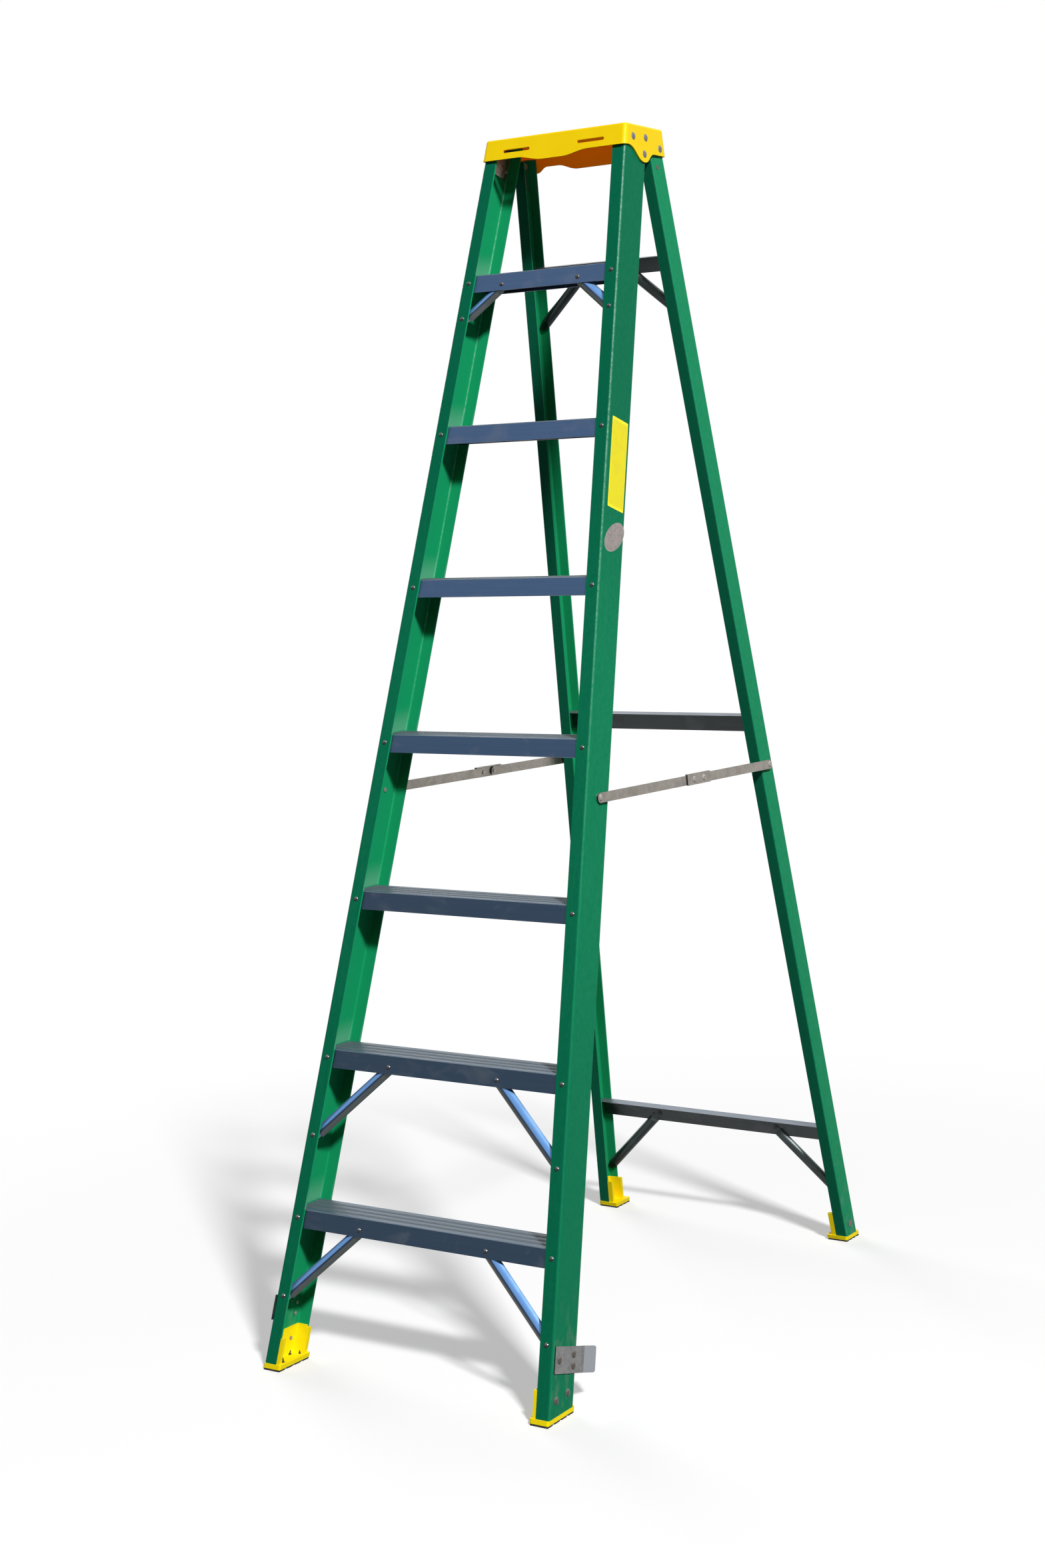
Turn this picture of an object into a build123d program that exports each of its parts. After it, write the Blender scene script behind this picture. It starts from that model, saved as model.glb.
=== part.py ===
from build123d import *
import os
from math import atan2, cos, degrees, hypot, radians, sin, tan

# A step ladder of fibreglass channel rails: a stepped front section and a slimmer rear section
# that fold together about a pin under the moulded cap, held apart by two jointed spreaders.
# Millimetres and degrees. +Z is up, the climber's side faces -Y, the floor is at zero.

# Stance
front_lean = 16.4
rear_lean = 10.8
splay = 3.83
base_half_width = 320.0
step_count = 7
step_pitch = 304.8
pivot_below_cap_step = 33.4
pivot_deep = 124.0
rear_pivot_back = 13.7
hinge_gap = 1.2

# Front rails
front_depth = 79.3
front_flange = 28.0
front_wall = 4.0
front_outer_round = 4.5
front_inner_round = 3.0

# Rear rails
rear_depth = 46.7
rear_flange = 25.0
rear_wall = 3.5
rear_outer_round = 3.5
rear_inner_round = 3.0
rear_top_reach = 12.0

# Steps
step_wall = 2.0
step_apron = 35.0
step_nose_round = 2.0
step_end_gap = 0.6
rib_groups = 3
ribs_in_group = 3
rib_width = 1.3
rib_height = 0.9
rib_pitch = 2.8

# Braces under the lowest, second and highest steps
brace_wall = 1.6
brace_width = 24.0
brace_height = 6.5
brace_head_tab = 5.0
brace_tab_width = 20.0
brace_pad_radius = 6.0
brace_tuck = 7.0
brace_rail_drop = 165.0
brace_rail_drop_top = 88.0
brace_step_drop = 22.5
brace_step_inset = 157.0
brace_step_inset_top = 90.0

# Rear bars and their braces
bar_wall = 2.0
bar_height = 38.5
bar_height_top = 31.0
bar_shelf = 22.0
bar_first_up = 252.4
bar_middle_pitches = 3
bar_last_below_pivot = 201.5
bar_rivet_drop = 10.0
rear_brace_width = 21.5
rear_brace_rise = 8.0
rear_brace_ramp = 9.0
rear_brace_tab = 10.0
rear_brace_tab_width = 14.4
rear_brace_bar_drop = 22.0
rear_brace_inset = 149.0
rear_brace_rail_drop = 168.0
rear_brace_bar_drop_top = 17.0
rear_brace_inset_top = 124.0
rear_brace_rail_drop_top = 120.5

# Rivets
flange_rivet_inset = 15.2
rear_flange_rivet_inset = 13.5
step_rivet_drop = 16.5
small_shank = 2.4
small_head = 4.7
small_dome = 2.4
big_shank = 2.6
big_head = 7.4
big_dome = 3.0
low_head = 0.6
tail_spread = 1.2
tail_height = 1.3

# Cap
cap_wall = 3.5
cap_over_pivot = 38.7
cap_front_gap = 2.0
cap_rear_reach = 22.2
cap_rear_rake = 4.2
cap_corner_round = 9.0
cap_top_round = 5.0
cap_skirt_drop = 2.0
cap_lobe_round = 15.5
cap_side_band = 22.0
cap_side_drop = 13.0
cap_wave_drop = 9.0
cap_wave_inner = 22.0
cap_wave_outer = 82.0
cap_rear_wave_inner = 40.0
cap_rear_wave_outer = 88.0
cap_rear_wave_end = 112.0
cap_slot_length = 62.0
cap_slot_height = 6.5
cap_slot_x = 85.0
cap_slot_rise = 13.0
cap_rivet_front_deep = 22.5
cap_rivet_front_drop = 14.8
cap_rivet_rear_deep = 68.0
cap_rivet_low_drop = 33.1
cap_rail_gap = 2.0

# Hinge
pin_radius = 4.0
pin_clearance = 0.05
pin_tail_spread = 2.4
pin_tail_height = 2.0
pin_tail_gap = 0.8
hinge_washer_radius = 8.0
hinge_washer_wall = 0.7
plate_wall = 2.0
backing_plate_low = 50.0
backing_plate_high = 14.0
plate_edge_gap = 0.4
hinge_plate_low = 50.0
hinge_rivet_drop = 32.7
hinge_rivet_deep = 18.0

# Shoes and pads
pad_height = 4.0
pad_base = 2.0
pad_margin = 1.5
pad_lugs = 4
pad_lug_share = 0.7
shoe_sole = 8.0
shoe_liner = 3.0
shoe_toe = 2.0
shoe_fit = 0.3
shoe_top = 62.5
shoe_hole = 1.6
sole_round = 4.0
front_shoe_rim = 7.0
front_shoe_heel = 5.0
front_sole_inner = 40.0
front_lip_drop = 4.0
front_stem_spots = ((30.9, 17.4), (13.7, 55.3), (27.5, 68.0))
front_shoe_rivet_low = 46.8
front_shoe_rivet_low_deep = 20.7
front_shoe_rivet_high = 59.6
front_shoe_rivet_high_deep = 57.7
rear_shoe_rim = 11.0
rear_shoe_heel = 10.0
rear_sole_inner = 47.0
rear_stem_spots = ((10.0, 15.6), (18.4, 15.6), (10.0, 31.1), (18.4, 31.1))
rear_shoe_rivet_up = 32.6
rear_shoe_rivet_deep = 24.2

# Closing guides on the outside of the front rails, the left one shorter and set further forward
guide_wall = 2.0
guide_low = 93.0
guide_high = 140.0
guide_front = 6.0
guide_rear = 135.0
guide_bend = 102.0
guide_flare = 8.0
guide_round = 5.0
guide_left_shift = 7.0
guide_left_rear = 122.0
guide_rivet_front = 20.4
guide_rivet_rear = 67.5
guide_rivet_spacing = 19.8

# Spreaders
spreader_front_up = 1117.7
spreader_front_deep = 42.7
spreader_rear_up = 1063.4
spreader_rear_deep = 25.1
spreader_bar = 18.5
spreader_bar_wall = 3.0
spreader_front_length = 346.0
spreader_link = 38.3
spreader_shank = 3.2
spreader_head = 6.4
spreader_dome = 2.6
spreader_front_standoff = 2.0
spreader_rear_standoff = 3.2
spreader_play = 0.2
spreader_rear_play = 0.6
spreader_washer_radius = 9.0
lock_plate_length = 90.0
lock_plate_wall = 2.0
lock_plate_skirt = 1.0
lock_lip_gap = 0.4
rivet_clearance = 0.06

# Stance worked out from the sizes above
lean_f = radians(front_lean)
lean_r = radians(rear_lean)
taper = tan(radians(splay))
along = 1 / cos(radians(splay))
pivot_up = step_pitch * (step_count + 1) - pivot_below_cap_step
pivot_from_toe = pivot_up * sin(lean_f) + pivot_deep * cos(lean_f)
pivot_z = pivot_up * cos(lean_f) - pivot_deep * sin(lean_f)
rear_pivot_deep = rear_depth - rear_pivot_back
rear_pivot_up = (pivot_z - rear_pivot_deep * sin(lean_r)) / cos(lean_r)
rear_toe = pivot_from_toe - rear_pivot_deep * cos(lean_r) + rear_pivot_up * sin(lean_r)
front_tip = pad_height * tan(lean_f) - shoe_toe / cos(lean_f)
rear_tip = rear_toe + (rear_depth + rear_shoe_heel) / cos(lean_r) - pad_height * tan(lean_r)
middle = (front_tip + rear_tip) / 2
pivot_y = pivot_from_toe - middle
pivot_half_width = base_half_width - pivot_up * taper
rear_half_width = pivot_half_width - hinge_gap + rear_pivot_up * taper
shoe_height = pad_height + shoe_sole
cap_top = pivot_z + cap_over_pivot


def placed(base, at, turn=(0, 0, 0)):
    """Plane at a point and a turn given in another plane's own axes."""
    return Plane(base.location * Location(at, turn))


# Each section's own axes: x across, y deep from its front face, z up along its lean
front = Plane((0, -middle, 0), x_dir=(1, 0, 0), z_dir=(0, sin(lean_f), cos(lean_f)))
rear = Plane((0, rear_toe - middle, 0), x_dir=(1, 0, 0), z_dir=(0, -sin(lean_r), cos(lean_r)))
# Each right rail's own axes: x out of its web, y deep, z along the splayed rail
front_rail_axes = placed(front, (base_half_width, 0, 0), (0, -splay, 0))
rear_rail_axes = placed(rear, (rear_half_width, 0, 0), (0, -splay, 0))


def on_web(rail, up, deep, out=0.0):
    """Plane along a right rail's web, its normal pointing out of the ladder and local x down."""
    return placed(rail, (out, deep, up * along), (0, 90, 0))


def facing_front(section, x, deep, up):
    """Plane whose normal points out of the front of a section, local y up."""
    return placed(section, (x, deep, up), (90, 0, 0))


def facing_rear(section, x, deep, up):
    """Plane whose normal points out of the back of a section, local y down."""
    return placed(section, (x, deep, up), (-90, 0, 0))


def side_view(section):
    """Plane of a section's side view: local x is deep and local y is up."""
    return Plane(section.origin, x_dir=section.y_dir, z_dir=(1, 0, 0))


def left_twin(plane):
    """The plane seen in the mirror on the left side."""
    flip = (-1, 1, 1)
    at = [a * b for a, b in zip(plane.origin, flip)]
    normal = [a * b for a, b in zip(plane.z_dir, flip)]
    return Plane(at, z_dir=normal)


def front_outer(up):
    """Outer half width of the front section at a height along its lean."""
    return base_half_width - up * taper


def rear_outer(up):
    """Outer half width of the rear section at a height along its lean."""
    return rear_half_width - up * taper


def mirrored(piece):
    """The same piece for the left side."""
    with BuildPart() as twin:
        mirror(piece, about=Plane.YZ)
    return twin.part


def both_sides(piece):
    """A right-hand group and its left-hand twin as one group."""
    with BuildPart() as pair:
        add(piece)
        mirror(piece, about=Plane.YZ)
    return pair.part


def save(piece, name):
    """Label one finished piece and write it."""
    piece.label = name
    export_step(piece, f"parts/{name}.step")


def save_pair(piece, name):
    """Write a right-hand piece and its left-hand twin."""
    save(piece, f"{name}_right")
    save(mirrored(piece), f"{name}_left")


def stud(shank, head, dome, grip):
    """Domed head standing on the plane with a plain shank below it."""
    with BuildPart() as piece:
        with BuildSketch(Plane.XZ):
            with BuildLine():
                TangentArc((0, dome), (head, 0), tangent=(1, 0))
                Polyline((head, 0), (shank, 0), (shank, -grip), (0, -grip), (0, dome))
            make_face()
        revolve(axis=Axis.Z)
    return piece.part


def rivet(shank, head, dome, grip):
    """Domed rivet with its upset tail below the parts it grips."""
    with BuildPart() as piece:
        add(stud(shank, head, dome, grip))
        with Locations((0, 0, -grip)):
            Cylinder(shank + tail_spread, tail_height, align=(Align.CENTER, Align.CENTER, Align.MAX))
    return piece.part


def flat_rivet(shank, head, grip):
    """Rivet with a low flat head and its upset tail below the parts it grips."""
    with BuildPart() as piece:
        Cylinder(head, low_head, align=(Align.CENTER, Align.CENTER, Align.MIN))
        Cylinder(shank, grip, align=(Align.CENTER, Align.CENTER, Align.MAX))
        with Locations((0, 0, -grip)):
            Cylinder(shank + tail_spread, tail_height, align=(Align.CENTER, Align.CENTER, Align.MAX))
    return piece.part


def at_each(places, piece):
    """One group of equal pieces, each standing on its own plane."""
    with BuildPart() as group:
        with Locations(*[place.location for place in places]):
            add(piece)
    return group.part


def channel_rail(axes, flange, depth, wall, outer_round, inner_round, top):
    """Channel rail with its web outside, standing on the shoe and cut square at the top."""
    with BuildPart() as piece:
        with BuildSketch(axes.offset(-depth)) as section:
            with BuildLine():
                Polyline((-flange, 0), (0, 0), (0, depth), (-flange, depth), (-flange, depth - wall),
                         (-wall, depth - wall), (-wall, wall), (-flange, wall), close=True)
            make_face()
            fillet([v for v in section.vertices() if abs(v.X + wall) < wall / 4], inner_round)
            fillet(section.vertices().group_by(Axis.X)[-1], outer_round)
        extrude(amount=depth + top * along)
        split(bisect_by=Plane.XY.offset(shoe_height), keep=Keep.TOP)
    return piece.part


def step_channel(up):
    """Step of inverted channel with a level ribbed tread, cut to fit between the splayed webs."""
    fore = front_wall
    aft = front_depth - front_wall
    rise = (aft - fore) * tan(lean_f)
    sheet = step_wall / cos(lean_f)
    slope = step_wall * tan(lean_f)
    end = front_wall + front_inner_round + step_end_gap
    group_pitch = (aft - fore) / cos(lean_f) / (rib_groups + 1)
    with BuildPart() as piece:
        with BuildSketch(side_view(front)) as profile:
            with BuildLine():
                Polyline((fore, up - step_apron), (fore, up), (aft, up + rise),
                         (aft, up + rise - step_apron), (aft - step_wall, up + rise - step_apron),
                         (aft - step_wall, up + rise - slope - sheet),
                         (fore + step_wall, up + slope - sheet),
                         (fore + step_wall, up - step_apron), close=True)
            make_face()
            fillet(profile.vertices().group_by(Axis.X)[0].sort_by(Axis.Y)[-1], step_nose_round)
            fillet(profile.vertices().group_by(Axis.X)[-1].sort_by(Axis.Y)[-1], step_nose_round)
            with Locations(Location(((fore + aft) / 2, up + rise / 2), front_lean)):
                with GridLocations(group_pitch, 0, rib_groups, 1):
                    with GridLocations(rib_pitch, 0, ribs_in_group, 1):
                        Rectangle(rib_width, 2 * rib_height)
        extrude(amount=base_half_width, both=True)
        cut = on_web(front_rail_axes, up, 0, -end)
        split(bisect_by=cut, keep=Keep.BOTTOM)
        split(bisect_by=left_twin(cut), keep=Keep.BOTTOM)
    return piece.part


def between(section, deep, start, finish):
    """Plane facing front halfway between two points of a section, its local x along them."""
    turn = degrees(atan2(finish[1] - start[1], finish[0] - start[0]))
    centre = facing_front(section, (start[0] + finish[0]) / 2, deep, (start[1] + finish[1]) / 2)
    return placed(centre, (0, 0, 0), (0, 0, turn))


def crest_radius(width, height):
    """Radius of an arc of one width and height."""
    return (width ** 2 / 4 + height ** 2) / (2 * height)


def pressed_bar(flat, outline, crest, radius):
    """Bar with one side outline, rounded across to a radius about its crest."""
    with BuildPart() as bar:
        with BuildSketch(placed(flat, (0, 0, 0), (90, 0, 0))):
            with BuildLine():
                Polyline(*outline, close=True)
            make_face()
        extrude(amount=radius, both=True)
        with BuildSketch(placed(flat, (0, 0, crest - radius), (0, 90, 0))):
            Circle(radius)
        extrude(amount=step_pitch, both=True, mode=Mode.INTERSECT)
    return bar.part


def pressed_brace(flat, length, feet, section, ramp, tab_width, pad_radius, pad_reach):
    """Half-round brace with flat round tabs, whose front faces lie on one plane."""
    width, rise, skirt = section
    first = feet[0] - length / 2
    last = length / 2 - feet[1]
    radius = crest_radius(width, rise + skirt)
    bend = atan2(rise, ramp)
    foot = brace_wall * tan(bend / 2)
    shoulder = ramp + foot
    outside = ((first, -skirt), (last, -skirt), (last, 0), (last - ramp, rise), (first + ramp, rise),
               (first, 0))
    inside = ((first - brace_wall, -2 * skirt), (last + brace_wall, -2 * skirt),
              (last + brace_wall, -brace_wall), (last - foot, -brace_wall),
              (last - shoulder, rise - brace_wall), (first + shoulder, rise - brace_wall),
              (first + foot, -brace_wall), (first - brace_wall, -brace_wall))
    with BuildPart() as piece:
        add(pressed_bar(flat, outside, rise, radius))
        add(pressed_bar(flat, inside, rise - brace_wall, radius - brace_wall), mode=Mode.SUBTRACT)
        with BuildSketch(flat):
            with Locations((-length / 2, 0), (length / 2, 0)):
                Circle(tab_width / 2)
            with Locations((first / 2 - length / 4, 0)):
                Rectangle(feet[0], tab_width)
            with Locations((last / 2 + length / 4, 0)):
                Rectangle(feet[1], tab_width)
        extrude(amount=-brace_wall)
        with BuildSketch(flat):
            with Locations((length / 2, 0)):
                Circle(pad_radius)
        extrude(amount=pad_reach)
    return piece.part


def step_brace(start, finish):
    """Brace from behind a step's apron to behind a rail's flange, its body tucked behind both."""
    run = finish[0] - start[0]
    length = hypot(run, finish[1] - start[1])
    feet = (brace_head_tab, (front_flange - flange_rivet_inset) * length / run - brace_tuck)
    flat = between(front, front_wall + step_wall, start, finish)
    section = (brace_width, 0, brace_height)
    return pressed_brace(flat, length, feet, section, brace_wall, brace_tab_width, brace_pad_radius,
                         step_wall)


def rear_bar(up, height):
    """Angle bar against the inside of the rear rails' back flanges, its shelf on top."""
    back = rear_depth - rear_wall
    end = rear_wall + rear_inner_round + step_end_gap
    with BuildPart() as piece:
        with BuildSketch(side_view(rear)) as profile:
            with BuildLine():
                Polyline((back - bar_shelf, up), (back, up), (back, up - height),
                         (back - bar_wall, up - height), (back - bar_wall, up - bar_wall),
                         (back - bar_shelf, up - bar_wall), close=True)
            make_face()
            fillet(profile.vertices().group_by(Axis.X)[-1].sort_by(Axis.Y)[-1], bar_wall)
        extrude(amount=base_half_width, both=True)
        cut = on_web(rear_rail_axes, up, 0, -end)
        split(bisect_by=cut, keep=Keep.BOTTOM)
        split(bisect_by=left_twin(cut), keep=Keep.BOTTOM)
    return piece.part


def rear_brace(start, finish):
    """Brace from a rear bar's face to a rear rail's back flange."""
    length = hypot(finish[0] - start[0], finish[1] - start[1])
    feet = (rear_brace_tab, rear_brace_tab)
    flat = between(rear, rear_depth - rear_wall - bar_wall - brace_wall, start, finish)
    section = (rear_brace_width, rear_brace_rise, brace_wall)
    return pressed_brace(flat, length, feet, section, rear_brace_ramp, rear_brace_tab_width,
                         rear_brace_tab_width / 2, -brace_wall - bar_wall)


def level_slab(axes, near, far, fore, aft, low, high, corner_round=0):
    """Block with sides along a rail, cut level at two heights above the floor."""
    with BuildPart() as slab:
        with BuildSketch(axes.offset(-far)):
            with Locations(((-near - far) / 2, (fore + aft) / 2)):
                Rectangle(far - near, aft - fore)
        extrude(amount=high + 3 * far)
        split(bisect_by=Plane.XY.offset(low), keep=Keep.TOP)
        split(bisect_by=Plane.XY.offset(high), keep=Keep.BOTTOM)
        if corner_round:
            fillet([e for e in slab.edges() if abs(e.tangent_at(0.5).Z) > 0.5], corner_round)
    return slab.part


def shoe(axes, flange, depth, wall, inner_round, rim, heel, sole_inner, stem_spots):
    """Moulded shoe: a sole under the rail and a lining inside it that laps its free edges."""
    skin = wall + shoe_fit
    inner = skin + shoe_liner
    lip = flange + rim
    edge = flange + shoe_fit
    with BuildPart() as piece:
        with BuildSketch(axes.offset(-depth)) as lining:
            with BuildLine():
                Polyline((-lip, 0), (-edge, 0), (-edge, skin), (-skin, skin), (-skin, depth - skin),
                         (-edge, depth - skin), (-edge, depth), (-lip, depth), (-lip, depth - inner),
                         (-inner, depth - inner), (-inner, inner), (-lip, inner), close=True)
            make_face()
            fillet([v for v in lining.vertices() if abs(v.X + skin) < shoe_fit / 2], inner_round)
        extrude(amount=depth + 2 * shoe_top)
        split(bisect_by=Plane.XY.offset(shoe_height), keep=Keep.TOP)
        split(bisect_by=Plane.XY.offset(shoe_top), keep=Keep.BOTTOM)
        add(level_slab(axes, 0, sole_inner, -shoe_toe, depth + heel, pad_height, shoe_height, sole_round))
        with BuildSketch(axes):
            with Locations(*[(-across, deep) for across, deep in stem_spots]):
                Circle(shoe_hole)
        extrude(amount=2 * depth, both=True, mode=Mode.SUBTRACT)
    return piece.part


def pad(axes, depth, heel, sole_inner):
    """Rubber tread under a shoe: a thin sheet with cross lugs that stand on the floor."""
    fore = pad_margin - shoe_toe
    aft = depth + heel - pad_margin
    far = sole_inner - pad_margin
    pitch = (aft - fore) / (pad_lugs - 1 + pad_lug_share)
    with BuildPart() as piece:
        add(level_slab(axes, pad_margin, far, fore, aft, pad_height - pad_base, pad_height))
        for lug in range(pad_lugs):
            start = fore + lug * pitch
            add(level_slab(axes, pad_margin, far, start, start + pitch * pad_lug_share, 0, pad_height))
    return piece.part


def cap_block(inset, bottom, corner_round, top_round):
    """Solid block inside the cap's outer faces moved in by an inset, open-ended at the bottom."""
    with BuildPart() as block:
        with Locations((0, pivot_y, pivot_z)):
            Box(2 * base_half_width, 2 * base_half_width, 2 * bottom)
        split(bisect_by=Plane.XY.offset(cap_top - inset), keep=Keep.BOTTOM)
        face = facing_front(front, 0, inset - cap_wall - cap_front_gap, pivot_up)
        split(bisect_by=face, keep=Keep.BOTTOM)
        rake = radians(cap_rear_rake)
        back = Plane((0, pivot_y + cap_rear_reach, pivot_z), z_dir=(0, cos(rake), sin(rake)))
        split(bisect_by=back.offset(-inset), keep=Keep.BOTTOM)
        side = on_web(front_rail_axes, pivot_up, pivot_deep, cap_wall - inset)
        split(bisect_by=side, keep=Keep.BOTTOM)
        split(bisect_by=left_twin(side), keep=Keep.BOTTOM)
        uprights = [e for e in block.edges() if abs(e.tangent_at(0.5).Z) > 0.5]
        fillet(uprights, corner_round)
        fillet(block.faces().sort_by(Axis.Z)[-1].edges(), top_round)
    return block.part


# Rivets in the flanges and webs, each group on its own section
braced_steps = (1, 2, step_count)
step_ups = [step_pitch * number for number in range(1, step_count + 1)]
bar_ups = (bar_first_up, bar_first_up + bar_middle_pitches * step_pitch,
           rear_pivot_up - bar_last_below_pivot)
bar_heights = (bar_height, bar_height, bar_height_top)
step_rise = (front_depth - 2 * front_wall) * tan(lean_f)


def brace_ends(number):
    """Right brace's rivet places under one step: on the apron, then on the rail."""
    top = number == step_count
    up = step_pitch * number
    low = up - (brace_rail_drop_top if top else brace_rail_drop)
    inset = brace_step_inset_top if top else brace_step_inset
    on_apron = (front_outer(up) - inset, up - brace_step_drop)
    on_rail = (front_outer(low) - flange_rivet_inset, low)
    return on_apron, on_rail


def rear_brace_ends(up):
    """Right rear brace's rivet places under one bar: on the bar, then on the rail."""
    top = up == bar_ups[-1]
    low = up - (rear_brace_rail_drop_top if top else rear_brace_rail_drop)
    inset = rear_brace_inset_top if top else rear_brace_inset
    high = up - (rear_brace_bar_drop_top if top else rear_brace_bar_drop)
    on_bar = (rear_outer(up) - inset, high)
    on_rail = (rear_outer(low) - rear_flange_rivet_inset, low)
    return on_bar, on_rail


apron_rivet = rivet(small_shank, small_head, small_dome, front_wall + step_wall)
brace_apron_rivet = rivet(small_shank, small_head, small_dome, step_wall + brace_wall)
brace_rail_rivet = rivet(small_shank, small_head, small_dome, front_wall + step_wall + brace_wall)
front_places = []
back_places = []
for up in step_ups:
    low = up - step_rivet_drop
    front_places.append(facing_front(front, front_outer(low) - flange_rivet_inset, 0, low))
    low = low + step_rise
    back_places.append(facing_rear(front, front_outer(low) - flange_rivet_inset, front_depth, low))
brace_apron_places = []
brace_rail_places = []
for number in braced_steps:
    inner, outer = brace_ends(number)
    brace_apron_places.append(facing_front(front, inner[0], front_wall, inner[1]))
    brace_rail_places.append(facing_front(front, outer[0], 0, outer[1]))
with BuildPart() as flange_rivets:
    add(at_each(front_places + back_places, apron_rivet))
    add(at_each(brace_apron_places, brace_apron_rivet))
    add(at_each(brace_rail_places, brace_rail_rivet))
front_flange_rivets = both_sides(flange_rivets.part)

cap_rivet = rivet(big_shank, big_head, big_dome, cap_wall + front_wall + plate_wall)
guide_rivet = rivet(big_shank, big_head, big_dome, guide_wall + front_wall)
shoe_rivet = rivet(big_shank, big_head, big_dome, front_wall + shoe_fit + shoe_liner)
guide_middle = (guide_low + guide_high) / 2
cap_rivet_spots = ((pivot_up - cap_rivet_front_drop, cap_rivet_front_deep),
                   (pivot_up, cap_rivet_rear_deep),
                   (pivot_up - cap_rivet_low_drop, cap_rivet_rear_deep))
guide_rivet_spots = ((guide_middle, guide_rivet_front),
                     (guide_middle + guide_rivet_spacing / 2, guide_rivet_rear),
                     (guide_middle - guide_rivet_spacing / 2, guide_rivet_rear))
shoe_rivet_spots = ((front_shoe_rivet_low, front_shoe_rivet_low_deep),
                    (front_shoe_rivet_high, front_shoe_rivet_high_deep))


def web_rivets(shift):
    """Rivets through a right front rail's web, its guide's moved forward by a shift."""
    guide_places = [on_web(front_rail_axes, up, deep - shift, guide_wall) for up, deep in guide_rivet_spots]
    with BuildPart() as group:
        add(at_each([on_web(front_rail_axes, *spot, cap_wall) for spot in cap_rivet_spots], cap_rivet))
        add(at_each(guide_places, guide_rivet))
        add(at_each([on_web(front_rail_axes, *spot) for spot in shoe_rivet_spots], shoe_rivet))
    return group.part


with BuildPart() as side_rivets:
    add(web_rivets(0))
    add(mirrored(web_rivets(guide_left_shift)))
front_web_rivets = side_rivets.part

bar_rivet = rivet(small_shank, small_head, small_dome, rear_wall + bar_wall)
rear_brace_bar_rivet = rivet(small_shank, small_head, small_dome, bar_wall + brace_wall)
rear_brace_rail_rivet = rivet(small_shank, small_head, small_dome, rear_wall + bar_wall + brace_wall)
braced_bars = (bar_ups[0], bar_ups[-1])
bar_places = []
for up, height in zip(bar_ups, bar_heights):
    for drop in (bar_rivet_drop, height - bar_rivet_drop):
        low = up - drop
        bar_places.append(facing_rear(rear, rear_outer(low) - rear_flange_rivet_inset, rear_depth, low))
rear_brace_bar_places = []
rear_brace_rail_places = []
for up in braced_bars:
    inner, outer = rear_brace_ends(up)
    rear_brace_bar_places.append(facing_rear(rear, inner[0], rear_depth - rear_wall, inner[1]))
    rear_brace_rail_places.append(facing_rear(rear, outer[0], rear_depth, outer[1]))
with BuildPart() as back_rivets:
    add(at_each(bar_places, bar_rivet))
    add(at_each(rear_brace_bar_places, rear_brace_bar_rivet))
    add(at_each(rear_brace_rail_places, rear_brace_rail_rivet))
rear_flange_rivets = both_sides(back_rivets.part)

hinge_rivet = flat_rivet(big_shank, small_head, rear_wall + plate_wall)
rear_shoe_rivet = flat_rivet(big_shank, big_head, rear_wall + shoe_fit + shoe_liner)
with BuildPart() as rear_side_rivets:
    add(at_each([on_web(rear_rail_axes, rear_pivot_up - hinge_rivet_drop, hinge_rivet_deep)], hinge_rivet))
    add(at_each([on_web(rear_rail_axes, rear_shoe_rivet_up, rear_shoe_rivet_deep)], rear_shoe_rivet))
rear_web_rivets = both_sides(rear_side_rivets.part)

# Hinge pin, held in the cap's wall and turning in the rear rail, with a washer between them
pivot_axis = Plane((0, pivot_y, pivot_z), x_dir=(0, 1, 0), z_dir=(1, 0, 0))
cap_face = on_web(front_rail_axes, pivot_up, pivot_deep, cap_wall)
pin_tail_x = pivot_half_width - (hinge_gap + rear_wall + plate_wall) * along - pin_tail_gap
with BuildPart() as pin:
    with BuildSketch(pivot_axis.offset(pin_tail_x)):
        Circle(pin_radius)
    extrude(amount=pivot_half_width + cap_wall + big_dome / 2 - pin_tail_x)
    with BuildSketch(pivot_axis.offset(pin_tail_x)):
        Circle(pin_radius + pin_tail_spread)
    extrude(amount=-pin_tail_height)
    add(at_each([cap_face], stud(pin_radius / 2, big_head, big_dome, cap_wall)))
with BuildPart() as pin_bore:
    with BuildSketch(pivot_axis):
        Circle(pin_radius + pin_clearance)
    extrude(amount=pivot_half_width - hinge_gap / 4)
with BuildPart() as hinge_washer:
    with BuildSketch(cap_face.offset(-cap_wall)):
        Circle(hinge_washer_radius)
    extrude(amount=-hinge_washer_wall)
    add(pin.part, mode=Mode.SUBTRACT)

# Spreader axes on the right: x along the straight spreader, z out of the ladder
front_stud_face = on_web(front_rail_axes, spreader_front_up, spreader_front_deep)
rear_stud_face = on_web(rear_rail_axes, spreader_rear_up, spreader_rear_deep)
front_end = front_stud_face.origin + front_stud_face.z_dir * spreader_front_standoff
rear_end = rear_stud_face.origin + rear_stud_face.z_dir * spreader_rear_standoff
span = rear_end - front_end
spreader = Plane(front_end, x_dir=span, z_dir=span.cross(front_rail_axes.z_dir))
second_rivet = spreader_front_length + spreader_link
rear_bar_length = span.length - second_rivet
bar_outside = spreader.offset(spreader_bar_wall + spreader_play)
lock_outside = bar_outside.offset(lock_plate_wall)


def spreader_bar_between(start, finish):
    """Flat bar with round ends and a rivet hole at each end, along the spreader."""
    with BuildPart() as piece:
        with BuildSketch(spreader):
            with Locations(((start + finish) / 2, 0)):
                SlotCenterToCenter(finish - start, spreader_bar)
            with Locations((start, 0), (finish, 0)):
                Circle(spreader_shank + rivet_clearance, mode=Mode.SUBTRACT)
        extrude(amount=spreader_bar_wall)
    return piece.part


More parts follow.
